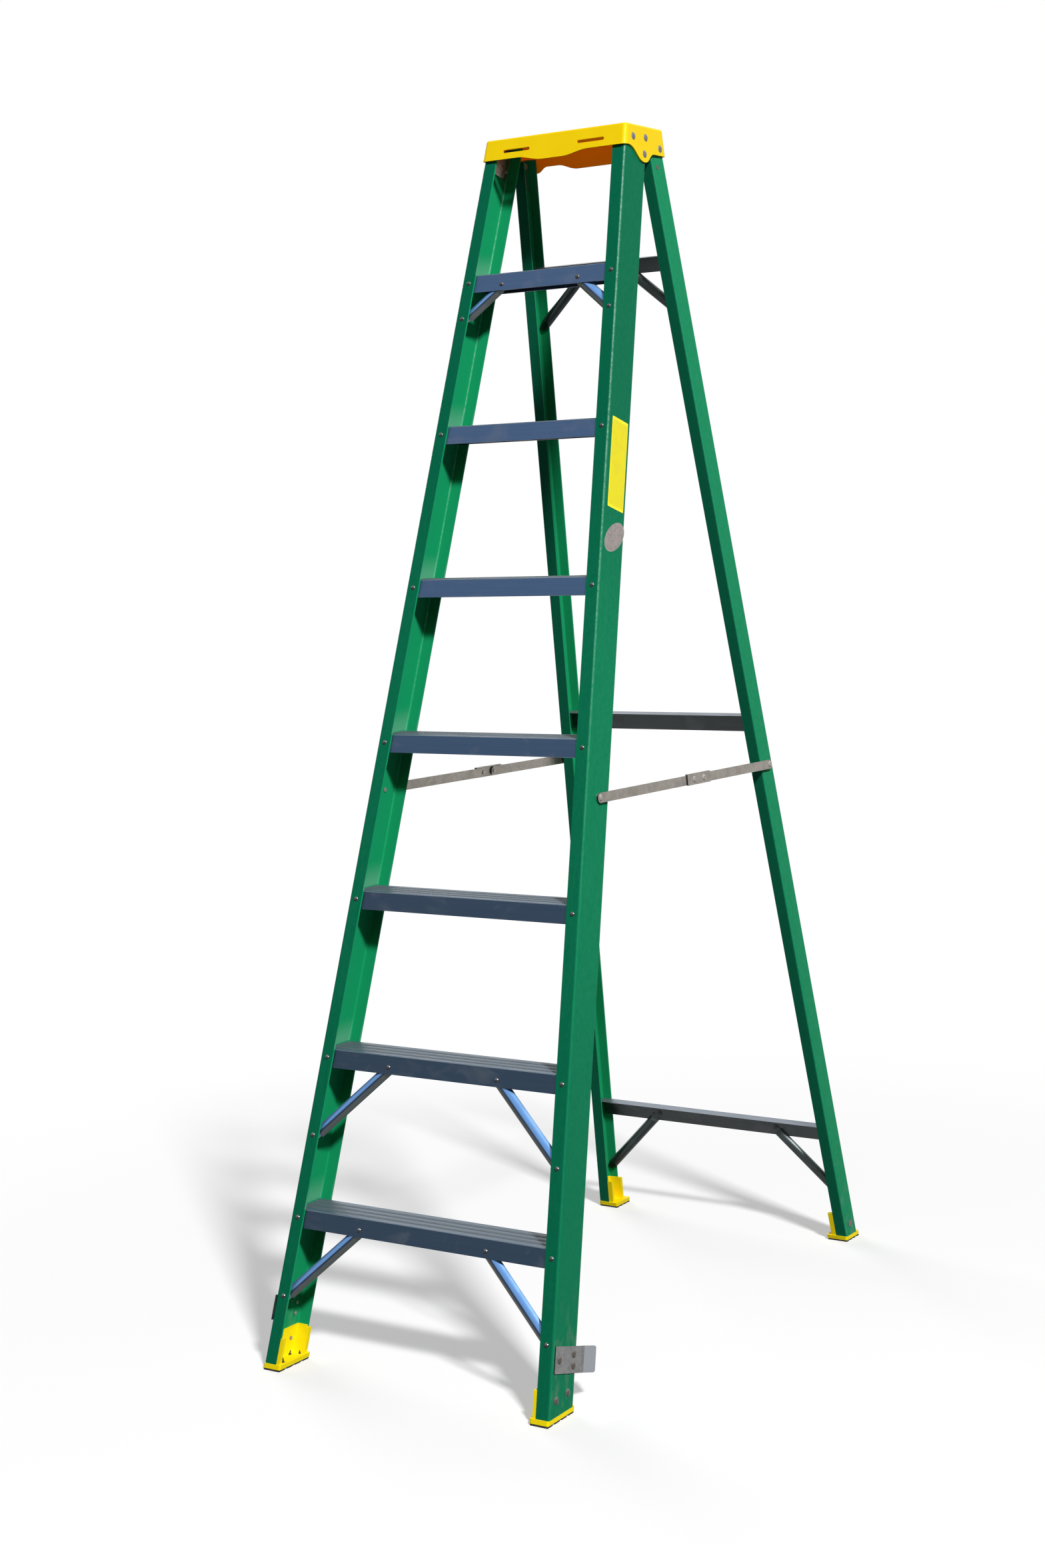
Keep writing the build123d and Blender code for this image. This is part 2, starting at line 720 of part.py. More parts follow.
lock_grip = lock_plate_wall + spreader_bar_wall + 2 * spreader_play
lock_rivet_places = [placed(lock_outside, (x, 0, 0)) for x in (spreader_front_length, second_rivet)]
lock_rivets = at_each(lock_rivet_places, rivet(spreader_shank, spreader_head, spreader_dome, lock_grip))

lip_low = spreader_bar / 2 + lock_lip_gap
plate_low = -spreader_bar / 2 - lock_plate_skirt
plate_high = lip_low + lock_plate_wall
with BuildPart() as lock_plate:
    with BuildSketch(bar_outside):
        with Locations((spreader_front_length + spreader_link / 2, (plate_low + plate_high) / 2)):
            Rectangle(lock_plate_length, plate_high - plate_low)
    extrude(amount=lock_plate_wall)
    with BuildSketch(spreader):
        with Locations((spreader_front_length + spreader_link / 2, (lip_low + plate_high) / 2)):
            Rectangle(lock_plate_length, lock_plate_wall)
    extrude(amount=spreader_bar_wall + spreader_play)
    add(lock_rivets, mode=Mode.SUBTRACT)

front_grip = spreader_bar_wall + 2 * spreader_play + spreader_front_standoff + front_wall
front_pivot_rivet = at_each([bar_outside], rivet(spreader_shank, spreader_head, spreader_dome, front_grip))
with BuildPart() as front_spacer:
    with BuildSketch(front_stud_face):
        Circle(spreader_washer_radius)
    extrude(amount=spreader_front_standoff - spreader_play)
    add(front_pivot_rivet, mode=Mode.SUBTRACT)

rear_spacer_wall = spreader_rear_standoff - spreader_rear_play
rear_end_face = placed(spreader, (span.length, 0, spreader_bar_wall))
end_stud = stud(spreader_shank + rivet_clearance, spreader_head, spreader_dome, spreader_bar_wall)
rear_end_rivet = at_each([rear_end_face], end_stud)
rear_tail_face = placed(rear_stud_face, (0, 0, -rear_wall), (180, 0, 0))
tail_stud = stud(spreader_shank, spreader_head, spreader_dome, rear_wall + rear_spacer_wall)
rear_tail = at_each([rear_tail_face], tail_stud)
with BuildPart() as rear_spacer:
    with BuildSketch(rear_stud_face):
        Circle(spreader_washer_radius)
    extrude(amount=rear_spacer_wall)
    add(rear_tail, mode=Mode.SUBTRACT)

# Rails
rail_top = Plane.XY.offset(cap_top - cap_wall - cap_rail_gap)
with BuildPart() as front_rail:
    add(channel_rail(front_rail_axes, front_flange, front_depth, front_wall, front_outer_round,
                     front_inner_round, pivot_up + 2 * cap_over_pivot))
    split(bisect_by=rail_top, keep=Keep.BOTTOM)
    add(front_flange_rivets, mode=Mode.SUBTRACT)
    add(front_pivot_rivet, mode=Mode.SUBTRACT)
with BuildPart() as rear_rail:
    add(channel_rail(rear_rail_axes, rear_flange, rear_depth, rear_wall, rear_outer_round,
                     rear_inner_round, rear_pivot_up + rear_top_reach))
    add(rear_flange_rivets, mode=Mode.SUBTRACT)
    add(rear_web_rivets, mode=Mode.SUBTRACT)
    add(rear_tail, mode=Mode.SUBTRACT)
    add(pin_bore.part, mode=Mode.SUBTRACT)

# Plates inside the tops of the rails
front_flat = front_wall + front_inner_round + plate_edge_gap
with BuildPart() as backing_plate:
    with BuildSketch(on_web(front_rail_axes, pivot_up, 0, -front_wall)):
        with Locations(((backing_plate_low - backing_plate_high) / 2, front_depth / 2)):
            Rectangle(backing_plate_low + backing_plate_high, front_depth - 2 * front_flat)
    extrude(amount=-plate_wall)
    split(bisect_by=rail_top, keep=Keep.BOTTOM)
    add(front_web_rivets, mode=Mode.SUBTRACT)
rear_flat = rear_wall + rear_inner_round + plate_edge_gap
with BuildPart() as hinge_plate:
    with BuildSketch(on_web(rear_rail_axes, rear_pivot_up, 0, -rear_wall)):
        with Locations(((hinge_plate_low - rear_top_reach) / 2, rear_depth / 2)):
            Rectangle(hinge_plate_low + rear_top_reach, rear_depth - 2 * rear_flat)
    extrude(amount=-plate_wall)
    add(rear_web_rivets, mode=Mode.SUBTRACT)
    add(pin_bore.part, mode=Mode.SUBTRACT)

# Moulded cap over the tops of the front rails
band = pivot_half_width - cap_side_band
below = 2 * cap_over_pivot
lobe_y = (cap_rivet_rear_deep - pivot_deep) * cos(lean_f) - cap_rivet_low_drop * sin(lean_f)
lobe_z = (pivot_deep - cap_rivet_rear_deep) * sin(lean_f) - cap_rivet_low_drop * cos(lean_f) - cap_lobe_round
front_low = -cap_skirt_drop
wave_low = front_low - cap_wave_drop
rear_low = -cap_side_drop
level = ((1, 0), (1, 0))
slot_up = (pivot_z + cap_slot_rise - (cap_wall + cap_front_gap) * sin(lean_f)) / cos(lean_f)
with BuildPart() as cap:
    add(cap_block(0, below, cap_corner_round, cap_top_round))
    hollow = cap_block(cap_wall, 2 * below, cap_corner_round - cap_wall, cap_top_round - cap_wall)
    add(hollow, mode=Mode.SUBTRACT)
    with BuildSketch(Plane((band, pivot_y, pivot_z), x_dir=(0, 1, 0), z_dir=(1, 0, 0))):
        with BuildLine():
            Line((-pivot_deep - below, front_low), (-pivot_deep, front_low))
            Spline((-pivot_deep, front_low), (lobe_y, lobe_z), tangents=level)
            Spline((lobe_y, lobe_z), (lobe_y + 2.5 * cap_lobe_round, rear_low), tangents=level)
            Polyline((lobe_y + 2.5 * cap_lobe_round, rear_low), (below, rear_low), (below, -2 * below),
                     (-pivot_deep - below, -2 * below), (-pivot_deep - below, front_low))
        make_face()
    side_cut = extrude(amount=base_half_width, mode=Mode.SUBTRACT)
    mirror(side_cut, about=Plane.YZ, mode=Mode.SUBTRACT)
    with BuildSketch(Plane((0, pivot_y - pivot_deep / 2, pivot_z), x_dir=(1, 0, 0), z_dir=(0, -1, 0))):
        with BuildLine():
            Line((-band, front_low), (-cap_wave_outer, front_low))
            Spline((-cap_wave_outer, front_low), (-cap_wave_inner, wave_low), tangents=level)
            Line((-cap_wave_inner, wave_low), (cap_wave_inner, wave_low))
            Spline((cap_wave_inner, wave_low), (cap_wave_outer, front_low), tangents=level)
            Polyline((cap_wave_outer, front_low), (band, front_low), (band, -2 * below), (-band, -2 * below),
                     (-band, front_low))
        make_face()
    extrude(amount=base_half_width, mode=Mode.SUBTRACT)
    with BuildSketch(Plane((0, pivot_y, pivot_z), x_dir=(-1, 0, 0), z_dir=(0, 1, 0))):
        with BuildLine():
            Spline((-band, rear_low), (-cap_rear_wave_end, front_low), tangents=level)
            Line((-cap_rear_wave_end, front_low), (-cap_rear_wave_outer, front_low))
            Spline((-cap_rear_wave_outer, front_low), (-cap_rear_wave_inner, rear_low), tangents=level)
            Line((-cap_rear_wave_inner, rear_low), (cap_rear_wave_inner, rear_low))
            Spline((cap_rear_wave_inner, rear_low), (cap_rear_wave_outer, front_low), tangents=level)
            Line((cap_rear_wave_outer, front_low), (cap_rear_wave_end, front_low))
            Spline((cap_rear_wave_end, front_low), (band, rear_low), tangents=level)
            Polyline((band, rear_low), (band, -2 * below), (-band, -2 * below), (-band, rear_low))
        make_face()
    extrude(amount=base_half_width, mode=Mode.SUBTRACT)
    with BuildSketch(facing_front(front, 0, -cap_wall - cap_front_gap, slot_up)):
        with Locations((-cap_slot_x, 0), (cap_slot_x, 0)):
            SlotOverall(cap_slot_length, cap_slot_height)
    extrude(amount=-cap_wall - cap_front_gap / 2, mode=Mode.SUBTRACT)
    add(front_web_rivets, mode=Mode.SUBTRACT)
    add(both_sides(pin.part), mode=Mode.SUBTRACT)


def closing_guide(shift, rear_end):
    """Plate on a right front rail, moved forward by a shift, its free end flared and rounded."""
    fore = guide_front - shift
    aft = rear_end - shift
    bend = guide_bend - shift
    flare_out = (aft - bend) * tan(radians(guide_flare))
    with BuildPart() as piece:
        with BuildSketch(placed(front_rail_axes, (0, 0, guide_low * along))):
            with BuildLine():
                Polyline((0, fore), (0, bend), (flare_out, aft), (flare_out + guide_wall, aft),
                         (guide_wall, bend), (guide_wall, fore), close=True)
            make_face()
        extrude(amount=(guide_high - guide_low) * along)
        with BuildSketch(on_web(front_rail_axes, guide_middle, (fore + aft) / 2)) as outline:
            Rectangle((guide_high - guide_low) * along, aft - fore)
            fillet(outline.vertices().sort_by(Axis.Y)[-2:], guide_round)
        extrude(amount=flare_out + 2 * guide_wall, both=True, mode=Mode.INTERSECT)
    return piece.part


def save_drilled(right, left, rivets, name):
    """Write a right-hand and a left-hand piece, each drilled for its own rivets."""
    for piece, side in ((right, "right"), (left, "left")):
        with BuildPart() as drilled:
            add(piece)
            add(rivets, mode=Mode.SUBTRACT)
        save(drilled.part, f"{name}_{side}")


# Shoes
with BuildPart() as front_shoe:
    add(shoe(front_rail_axes, front_flange, front_depth, front_wall, front_inner_round, front_shoe_rim,
             front_shoe_heel, front_sole_inner, front_stem_spots))
    add(level_slab(front_rail_axes, front_flange + shoe_fit, front_sole_inner, -shoe_toe,
                   front_depth + shoe_toe, shoe_top - front_lip_drop, shoe_top + shoe_toe),
        mode=Mode.SUBTRACT)
    add(front_web_rivets, mode=Mode.SUBTRACT)
with BuildPart() as rear_shoe:
    add(shoe(rear_rail_axes, rear_flange, rear_depth, rear_wall, rear_inner_round, rear_shoe_rim,
             rear_shoe_heel, rear_sole_inner, rear_stem_spots))
    add(rear_web_rivets, mode=Mode.SUBTRACT)

# Everything is written under its own name
os.makedirs("parts", exist_ok=True)
save_drilled(front_rail.part, mirrored(front_rail.part), front_web_rivets, "front_rail")
save_pair(rear_rail.part, "rear_rail")
save(cap.part, "top_cap")
save_pair(backing_plate.part, "backing_plate")
save_pair(hinge_plate.part, "hinge_plate")
left_guide = mirrored(closing_guide(guide_left_shift, guide_left_rear))
save_drilled(closing_guide(0, guide_rear), left_guide, front_web_rivets, "closing_guide")
save_pair(front_shoe.part, "front_shoe")
save_pair(pad(front_rail_axes, front_depth, front_shoe_heel, front_sole_inner), "front_pad")
save_pair(rear_shoe.part, "rear_shoe")
save_pair(pad(rear_rail_axes, rear_depth, rear_shoe_heel, rear_sole_inner), "rear_pad")
for number, up in enumerate(step_ups, 1):
    with BuildPart() as step:
        add(step_channel(up))
        add(front_flange_rivets, mode=Mode.SUBTRACT)
    save(step.part, f"step_{number}")
for number in braced_steps:
    with BuildPart() as brace:
        add(step_brace(*brace_ends(number)))
        add(front_flange_rivets, mode=Mode.SUBTRACT)
    save_pair(brace.part, f"step_{number}_brace")
for name, up, height in zip(("low", "middle", "high"), bar_ups, bar_heights):
    with BuildPart() as bar:
        add(rear_bar(up, height))
        add(rear_flange_rivets, mode=Mode.SUBTRACT)
    save(bar.part, f"rear_bar_{name}")
for name, up in zip(("low", "high"), braced_bars):
    with BuildPart() as brace:
        add(rear_brace(*rear_brace_ends(up)))
        add(rear_flange_rivets, mode=Mode.SUBTRACT)
    save_pair(brace.part, f"rear_brace_{name}")
save_pair(spreader_bar_between(0, spreader_front_length), "spreader_front_bar")
save_pair(lock_plate.part, "lock_plate")
save_pair(spreader_bar_between(second_rivet, span.length), "spreader_rear_bar")
save_pair(lock_rivets, "lock_rivets")
save_pair(rear_end_rivet, "spreader_end_rivet")
save(both_sides(front_pivot_rivet), "spreader_front_rivets")
save(both_sides(front_spacer.part), "spreader_front_spacers")
save(both_sides(rear_tail), "spreader_rear_tails")
save(both_sides(rear_spacer.part), "spreader_rear_spacers")
save(both_sides(pin.part), "hinge_pins")
save(both_sides(hinge_washer.part), "hinge_washers")
save(front_flange_rivets, "front_flange_rivets")
save(front_web_rivets, "front_web_rivets")
save(rear_flange_rivets, "rear_flange_rivets")
save(rear_web_rivets, "rear_web_rivets")
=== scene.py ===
from math import cos, radians, sin, tan

import bpy
import numpy as np
from mathutils import Matrix, Vector


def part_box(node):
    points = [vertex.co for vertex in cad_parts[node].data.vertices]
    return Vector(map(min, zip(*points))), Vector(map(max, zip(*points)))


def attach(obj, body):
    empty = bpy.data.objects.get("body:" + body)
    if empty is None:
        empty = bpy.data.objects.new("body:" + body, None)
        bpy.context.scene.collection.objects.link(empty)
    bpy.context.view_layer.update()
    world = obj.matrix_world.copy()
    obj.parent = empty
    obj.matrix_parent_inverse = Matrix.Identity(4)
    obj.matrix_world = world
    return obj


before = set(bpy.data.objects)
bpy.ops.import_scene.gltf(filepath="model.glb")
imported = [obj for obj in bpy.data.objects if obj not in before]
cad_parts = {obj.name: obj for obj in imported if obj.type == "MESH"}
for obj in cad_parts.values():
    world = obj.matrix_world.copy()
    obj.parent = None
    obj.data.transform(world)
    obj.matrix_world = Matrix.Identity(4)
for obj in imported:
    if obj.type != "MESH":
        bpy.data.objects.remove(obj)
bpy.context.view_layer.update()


# Rails: channels of fibreglass, drawn through a die with the glass strands running along them.
# The green resin shows the strands as faint streaks over a cloudy mat, and the rounded corners
# are glossy, with a pale highlight painted along them in broken beads. Dust has settled near the floor.
def feed(tree, node, inputs):
    """Gives a node its inputs, by name or number. A socket is linked, and anything else is set."""
    for name, value in inputs.items():
        if isinstance(value, bpy.types.NodeSocket):
            tree.links.new(value, node.inputs[name])
        else:
            node.inputs[name].default_value = value


def add_node(tree, kind, inputs=None, **settings):
    """One shader node with its settings and its inputs."""
    made = tree.nodes.new("ShaderNode" + kind)
    for name, value in settings.items():
        setattr(made, name, value)
    feed(tree, made, inputs or {})
    return made


def surface(tree):
    """The place of a surface and the way it faces, both in the object's own frame."""
    coords = add_node(tree, "TexCoord").outputs
    return coords["Object"], coords["Normal"]


def parts(tree, whole):
    """The x, y and z of a vector."""
    return add_node(tree, "SeparateXYZ", {0: whole}).outputs


def vector(tree, x, y, z):
    """A vector put together from its x, y and z."""
    return add_node(tree, "CombineXYZ", {0: x, 1: y, 2: z}).outputs[0]


def calc(tree, operation, *terms):
    """One number worked out from up to three others."""
    return add_node(tree, "Math", dict(enumerate(terms)), operation=operation).outputs[0]


def ramp(tree, value, low, high, start=0.0, end=1.0):
    """A number carried smoothly from start to end while value goes from low to high."""
    inputs = {"Value": value, "From Min": low, "From Max": high, "To Min": start, "To Max": end}
    return add_node(tree, "MapRange", inputs, interpolation_type="SMOOTHSTEP").outputs[0]


def fall(tree, value, low, high):
    """A number carried smoothly from 1 to 0 while value goes from low to high."""
    return ramp(tree, value, low, high, start=1.0, end=0.0)


def noise(tree, place, scale, detail=2.0, distortion=0.0):
    """Cloudy noise from 0 to 1 at a place."""
    inputs = {"Vector": place, "Scale": scale, "Detail": detail, "Distortion": distortion}
    return add_node(tree, "TexNoise", inputs).outputs[0]


def blend_colours(tree, share, first, second, way="MIX"):
    """The second colour laid over the first by a share of it."""
    made = add_node(tree, "Mix", {0: share, 6: first, 7: second}, data_type="RGBA", blend_type=way)
    return made.outputs[2]


def bump(tree, height, strength, distance):
    """The normal of a surface raised by a height from 0 to 1 times a distance in metres."""
    return add_node(tree, "Bump", {"Height": height, "Strength": strength, "Distance": distance}).outputs[0]


def new_group(name, inputs, outputs):
    """An empty shader node group, its input sockets by name, and its output node."""
    tree = bpy.data.node_groups.new(name, "ShaderNodeTree")
    for socket, kind in inputs.items():
        tree.interface.new_socket(socket, in_out="INPUT", socket_type="NodeSocket" + kind)
    for socket, kind in outputs.items():
        tree.interface.new_socket(socket, in_out="OUTPUT", socket_type="NodeSocket" + kind)
    entry = tree.nodes.new("NodeGroupInput")
    return tree, entry.outputs, tree.nodes.new("NodeGroupOutput")


def use_group(tree, group, inputs):
    """One placed copy of a node group, as its outputs by name."""
    return add_node(tree, "Group", inputs, node_tree=group).outputs


def new_material(name):
    """A material with its Principled shader alone, its node tree and that shader."""
    material = bpy.data.materials.new(name)
    material.use_nodes = True
    return material, material.node_tree, material.node_tree.nodes["Principled BSDF"]


def finish_node(material, *names):
    """Gives CAD nodes their material."""
    for name in names:
        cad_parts[name].material_slots[0].material = material


def glass_strand_group():
    """Strands along a rail. Place is sheared so that a rail of one lean and splay stands upright:
    across = |x| + splay z, deep = y - lean z, along = z, and each noise is drawn out along it.
    Inside is the web's inner face and the rear flange's, which is past the rail's middle depth.
    Tread Light is the web's inner face just above each tread, where light thrown up by the tread is
    painted, and Darker Ends the two ends of the outer faces."""
    inputs = {name: "Float" for name in ("Lean", "Splay", "Middle", "Tread Top", "Tread Pitch")}
    outputs = ("Streak", "Mat", "Corner Glint", "Inside", "Flange", "Darker Ends", "Tread Light", "Dust", "Height")
    tree, given, out = new_group("glass_strands", inputs, {name: "Float" for name in outputs})
    place, facing = surface(tree)
    x, y, z = parts(tree, place)
    nx, ny = parts(tree, facing)[:2]
    side = calc(tree, "ABSOLUTE", nx)

    strand_squeeze, mat_squeeze = 0.025, 0.45
    across = calc(tree, "MULTIPLY_ADD", z, given["Splay"], calc(tree, "ABSOLUTE", x))
    deep = calc(tree, "SUBTRACT", y, calc(tree, "MULTIPLY", z, given["Lean"]))
    drawn = vector(tree, across, deep, calc(tree, "MULTIPLY", z, strand_squeeze))
    loose = vector(tree, across, deep, calc(tree, "MULTIPLY", z, mat_squeeze))
    streak = noise(tree, drawn, scale=420.0, detail=3.0)
    mat = noise(tree, loose, scale=210.0, detail=4.0, distortion=0.6)
    speck = noise(tree, loose, scale=900.0)
    streak_share, speck_share = 0.6, 0.4
    specks = calc(tree, "MULTIPLY", speck, speck_share)
    height = calc(tree, "MULTIPLY_ADD", streak, streak_share, specks)

    # A turn is the range of a part of the normal over which a face passes from one mask to another.
    middle_reach, web_turn, rear_turn, flange_turn = 0.004, (-0.9, -0.5), (-0.9, -0.6), (0.4, 0.8)
    outwards = calc(tree, "MULTIPLY", nx, calc(tree, "SIGN", x))
    web = fall(tree, outwards, *web_turn)
    past_middle = calc(tree, "ADD", given["Middle"], middle_reach)
    rear_half = ramp(tree, deep, given["Middle"], past_middle)
    rear_inside = calc(tree, "MULTIPLY", fall(tree, ny, *rear_turn), rear_half)
    inside = calc(tree, "MAXIMUM", web, rear_inside)
    outside = calc(tree, "SUBTRACT", 1.0, inside)
    flange = calc(tree, "MULTIPLY", fall(tree, side, *flange_turn), outside)

    # Darker towards both ends of the outer faces, most at the top and not at all in the middle.
    upper_end_heights, lower_end_heights, lower_end_share = (1.25, 1.8), (0.35, 0.95), 0.56
    upper_end = ramp(tree, z, *upper_end_heights)
    lower_end = ramp(tree, z, *lower_end_heights, start=lower_end_share, end=0.0)
    darker_ends = calc(tree, "MULTIPLY", calc(tree, "MAXIMUM", upper_end, lower_end), outside)

    # Painted light: the web's inner face is paler just above each tread, for the light the tread throws up
    # onto it.
    tread_light_reach = 0.05
    over_first = calc(tree, "SUBTRACT", z, given["Tread Top"])
    above_tread = calc(tree, "FLOORED_MODULO", over_first, given["Tread Pitch"])
    tread_light = calc(tree, "MULTIPLY", web, fall(tree, above_tread, 0.0, tread_light_reach))

    # Corner Glint: broken beads along the rounded corners, fewer towards the floor. They are coated glossy,
    # and a pale highlight is painted there.
    corner_start, corner_end = (0.15, 0.4), (0.94, 0.995)
    glint_levels, glint_heights, between_glints, low_glints = (0.3, 0.7), (0.7, 1.8), 0.25, 0.04
    corner = calc(tree, "MULTIPLY", ramp(tree, side, *corner_start), fall(tree, side, *corner_end))
    grains = noise(tree, place, scale=210.0, detail=4.0, distortion=0.4)
    corner_glints = calc(tree, "MULTIPLY", corner, ramp(tree, grains, *glint_levels, start=between_glints))
    corner_glint = calc(tree, "MULTIPLY", corner_glints, ramp(tree, z, *glint_heights, start=low_glints))

    dust_heights, dust_levels, side_turn = (0.07, 0.25), (0.48, 0.7), (0.8, 0.95)
    low_web = calc(tree, "MULTIPLY", fall(tree, z, *dust_heights), ramp(tree, side, *side_turn))
    drifts = noise(tree, loose, scale=60.0, detail=5.0, distortion=0.2)
    dust = calc(tree, "MULTIPLY", low_web, ramp(tree, drifts, *dust_levels))

    made = (streak, mat, corner_glint, inside, flange, darker_ends, tread_light, dust, height)
    feed(tree, out, dict(zip(outputs, made)))
    return tree


def tread_levels():
    """The height of the first step's tread, and how far the next one lies above it."""
    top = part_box("step_1")[1][2]
    return top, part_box("step_2")[1][2] - top


def fibreglass(name, lean, middle, deep, pale, glint_strength, flange, darker_ends, tread_light):
    """Green fibreglass for a pair of rails: their lean in degrees, the place of their middle depth at
    floor level in metres, two greens of the mat, and how far each of the strands' effects shows, among them
    the painted corner highlight, the painted flange shade and the painted light above the treads."""
    material, tree, shader = new_material(name)
    tread_top, tread_pitch = tread_levels()
    strands = use_group(tree, glass_strands, {
        "Lean": tan(radians(lean)), "Splay": tan(radians(rail_splay)), "Middle": middle,
        "Tread Top": tread_top, "Tread Pitch": tread_pitch})
    mat_levels, streak_levels = (0.3, 0.7), (0.5, 0.8)
    green = blend_colours(tree, ramp(tree, strands["Mat"], *mat_levels), deep, pale)
    # Each layer: where it lies, its share there, and its colour.
    layers = ((ramp(tree, strands["Streak"], *streak_levels), 0.2, (0.03, 0.30, 0.15, 1)),
              # Painted light: the inner faces of the channel are lighter, for light bounced about inside it.
              (strands["Inside"], 0.7, (0.008, 0.335, 0.125, 1)),
              # Painted shade: the flanges' outer faces, which look forwards or backwards, are darker.
              (strands["Flange"], flange, (0.0, 0.06, 0.04, 1)),
              # Darker towards both ends of the outer faces.
              (strands["Darker Ends"], darker_ends, (0.001, 0.10, 0.052, 1)),
              # Painted light just above each tread.
              (strands["Tread Light"], tread_light, (0.50, 0.76, 0.68, 1)),
              # Painted highlight: a pale glint along the corners.
              (strands["Corner Glint"], 0.16 * glint_strength, (0.20, 0.48, 0.34, 1)),
              (strands["Dust"], 0.2, (0.27, 0.34, 0.27, 1)))
    for mask, share, colour in layers:
        green = blend_colours(tree, calc(tree, "MULTIPLY", mask, share), green, colour)
    feed(tree, shader, {
        "Base Color": green,
        "Roughness": ramp(tree, strands["Mat"], *mat_levels, start=0.5, end=0.4),
        "Specular IOR Level": 0.03,
        "Coat Weight": calc(tree, "MULTIPLY", strands["Corner Glint"], glint_strength),
        "Coat Roughness": 0.45,
        "Normal": bump(tree, strands["Height"], strength=0.25, distance=0.0004)})
    return material


glass_strands = glass_strand_group()
front_lean, rear_lean, rail_splay = 16.4, -10.8, 3.83
front_green = fibreglass("fibreglass_front", front_lean, middle=-0.5856,
                         deep=(0.0040, 0.205, 0.090, 1), pale=(0.0066, 0.232, 0.101, 1),
                         glint_strength=1.0, flange=0.37, darker_ends=0.5, tread_light=0.16)
rear_green = fibreglass("fibreglass_rear", rear_lean, middle=0.5946,
                        deep=(0.0095, 0.243, 0.105, 1), pale=(0.0135, 0.274, 0.119, 1),
                        glint_strength=0.2, flange=0.66, darker_ends=0.0, tread_light=0.0)
finish_node(front_green, "front_rail_right", "front_rail_left")
finish_node(rear_green, "rear_rail_right", "rear_rail_left")


# Steps: drawn aluminium channel, a ribbed tread with a plain apron in front and behind, riveted
# between the front rails. The mill finish keeps fine die lines along each step and is dulled in
# patches by hands and boots, and a cool reflection of the sky and ground is painted on it.
def sky_reflection_group():
    """A painted reflection: a colour by how far a face looks up, below, level, above and top, one passing
    into the next, for the ground, horizon and sky it would reflect.
    """
    names = ("Below", "Level", "Above", "Top")
    passes = ((-0.55, -0.12), (0.25, 0.7), (0.75, 0.98))
    tree, given, out = new_group("sky_reflection", {name: "Color" for name in names}, {"Color": "Color"})
    up = parts(tree, surface(tree)[1])[2]
    colour = given[names[0]]
    for name, (low, high) in zip(names[1:], passes):
        colour = blend_colours(tree, ramp(tree, up, low, high), colour, given[name])
    feed(tree, out, {"Color": colour})
    return tree


def drawn_line_group():
    """Die lines along x: noise over place with x shrunk, so that each line runs the whole length."""
    line_squeeze, smear_stretch = 0.008, 1.6
    tree, given, out = new_group("die_lines", {"Fineness": "Float"}, {"Line": "Float", "Smear": "Float"})
    x, y, z = parts(tree, surface(tree)[0])
    along = vector(tree, calc(tree, "MULTIPLY", x, line_squeeze), y, z)
    patch = vector(tree, x, y, calc(tree, "MULTIPLY", z, smear_stretch))
    feed(tree, out, {"Line": noise(tree, along, given["Fineness"]),
                     "Smear": noise(tree, patch, scale=14.0, detail=5.0, distortion=0.6)})
    return tree


def tread_group():
    """The ribbed skin of level treads, one pitch apart. With depth = how far z lies under a level 1 mm
    over the next tread top, Tread is the skin itself, Crest the tops of its ribs and Flank their sides."""
    over_top, skin_depths, crest_depths = 0.001, (0.0026, 0.0034), (0.0013, 0.0018)
    flank_turn = (0.3, 0.9)
    outputs = {name: "Float" for name in ("Tread", "Crest", "Flank")}
    tree, given, out = new_group("step_treads", {"Top": "Float", "Pitch": "Float"}, outputs)
    place, facing = surface(tree)
    z = parts(tree, place)[2]
    up = parts(tree, facing)[2]
    under = calc(tree, "SUBTRACT", calc(tree, "ADD", given["Top"], over_top), z)
    depth = calc(tree, "FLOORED_MODULO", under, given["Pitch"])
    tread = fall(tree, depth, *skin_depths)
    feed(tree, out, {"Tread": tread,
                     "Crest": fall(tree, depth, *crest_depths),
                     "Flank": calc(tree, "MULTIPLY", tread, fall(tree, up, *flank_turn))})
    return tree


def drawn_finish(tree, shader, tone, roughness, metal):
    """Die lines and dull patches over a tone, joined to a shader with its share of metal."""
    line_tone, line_levels, line_share = (0.30, 0.34, 0.40, 1), (0.35, 0.65), 0.35
    smear_tone, smear_levels, smear_share = (0.17, 0.18, 0.20, 1), (0.52, 0.74), 0.2
    dull_levels, dulling = (0.35, 0.7), 0.15
    lines = use_group(tree, die_lines, {"Fineness": 900.0})
    lined = ramp(tree, lines["Line"], *line_levels, end=line_share)
    smeared = ramp(tree, lines["Smear"], *smear_levels, end=smear_share)
    tone = blend_colours(tree, lined, tone, line_tone, "SOFT_LIGHT")
    tone = blend_colours(tree, smeared, tone, smear_tone)
    feed(tree, shader, {
        "Base Color": tone,
        "Roughness": ramp(tree, lines["Smear"], *dull_levels, roughness, roughness + dulling),
        "Metallic": metal,
        "Normal": bump(tree, lines["Line"], strength=0.12, distance=0.0002)})


def aluminium(name, below, level, above, top, roughness, metal):
    """Mill aluminium: a painted reflection by the way each face looks, dark below and cool and pale on top,
    with die lines and dull patches.
    """
    material, tree, shader = new_material(name)
    tones = {"Below": below, "Level": level, "Above": above, "Top": top}
    drawn_finish(tree, shader, use_group(tree, sky_reflection, tones)["Color"], roughness, metal)
    return material


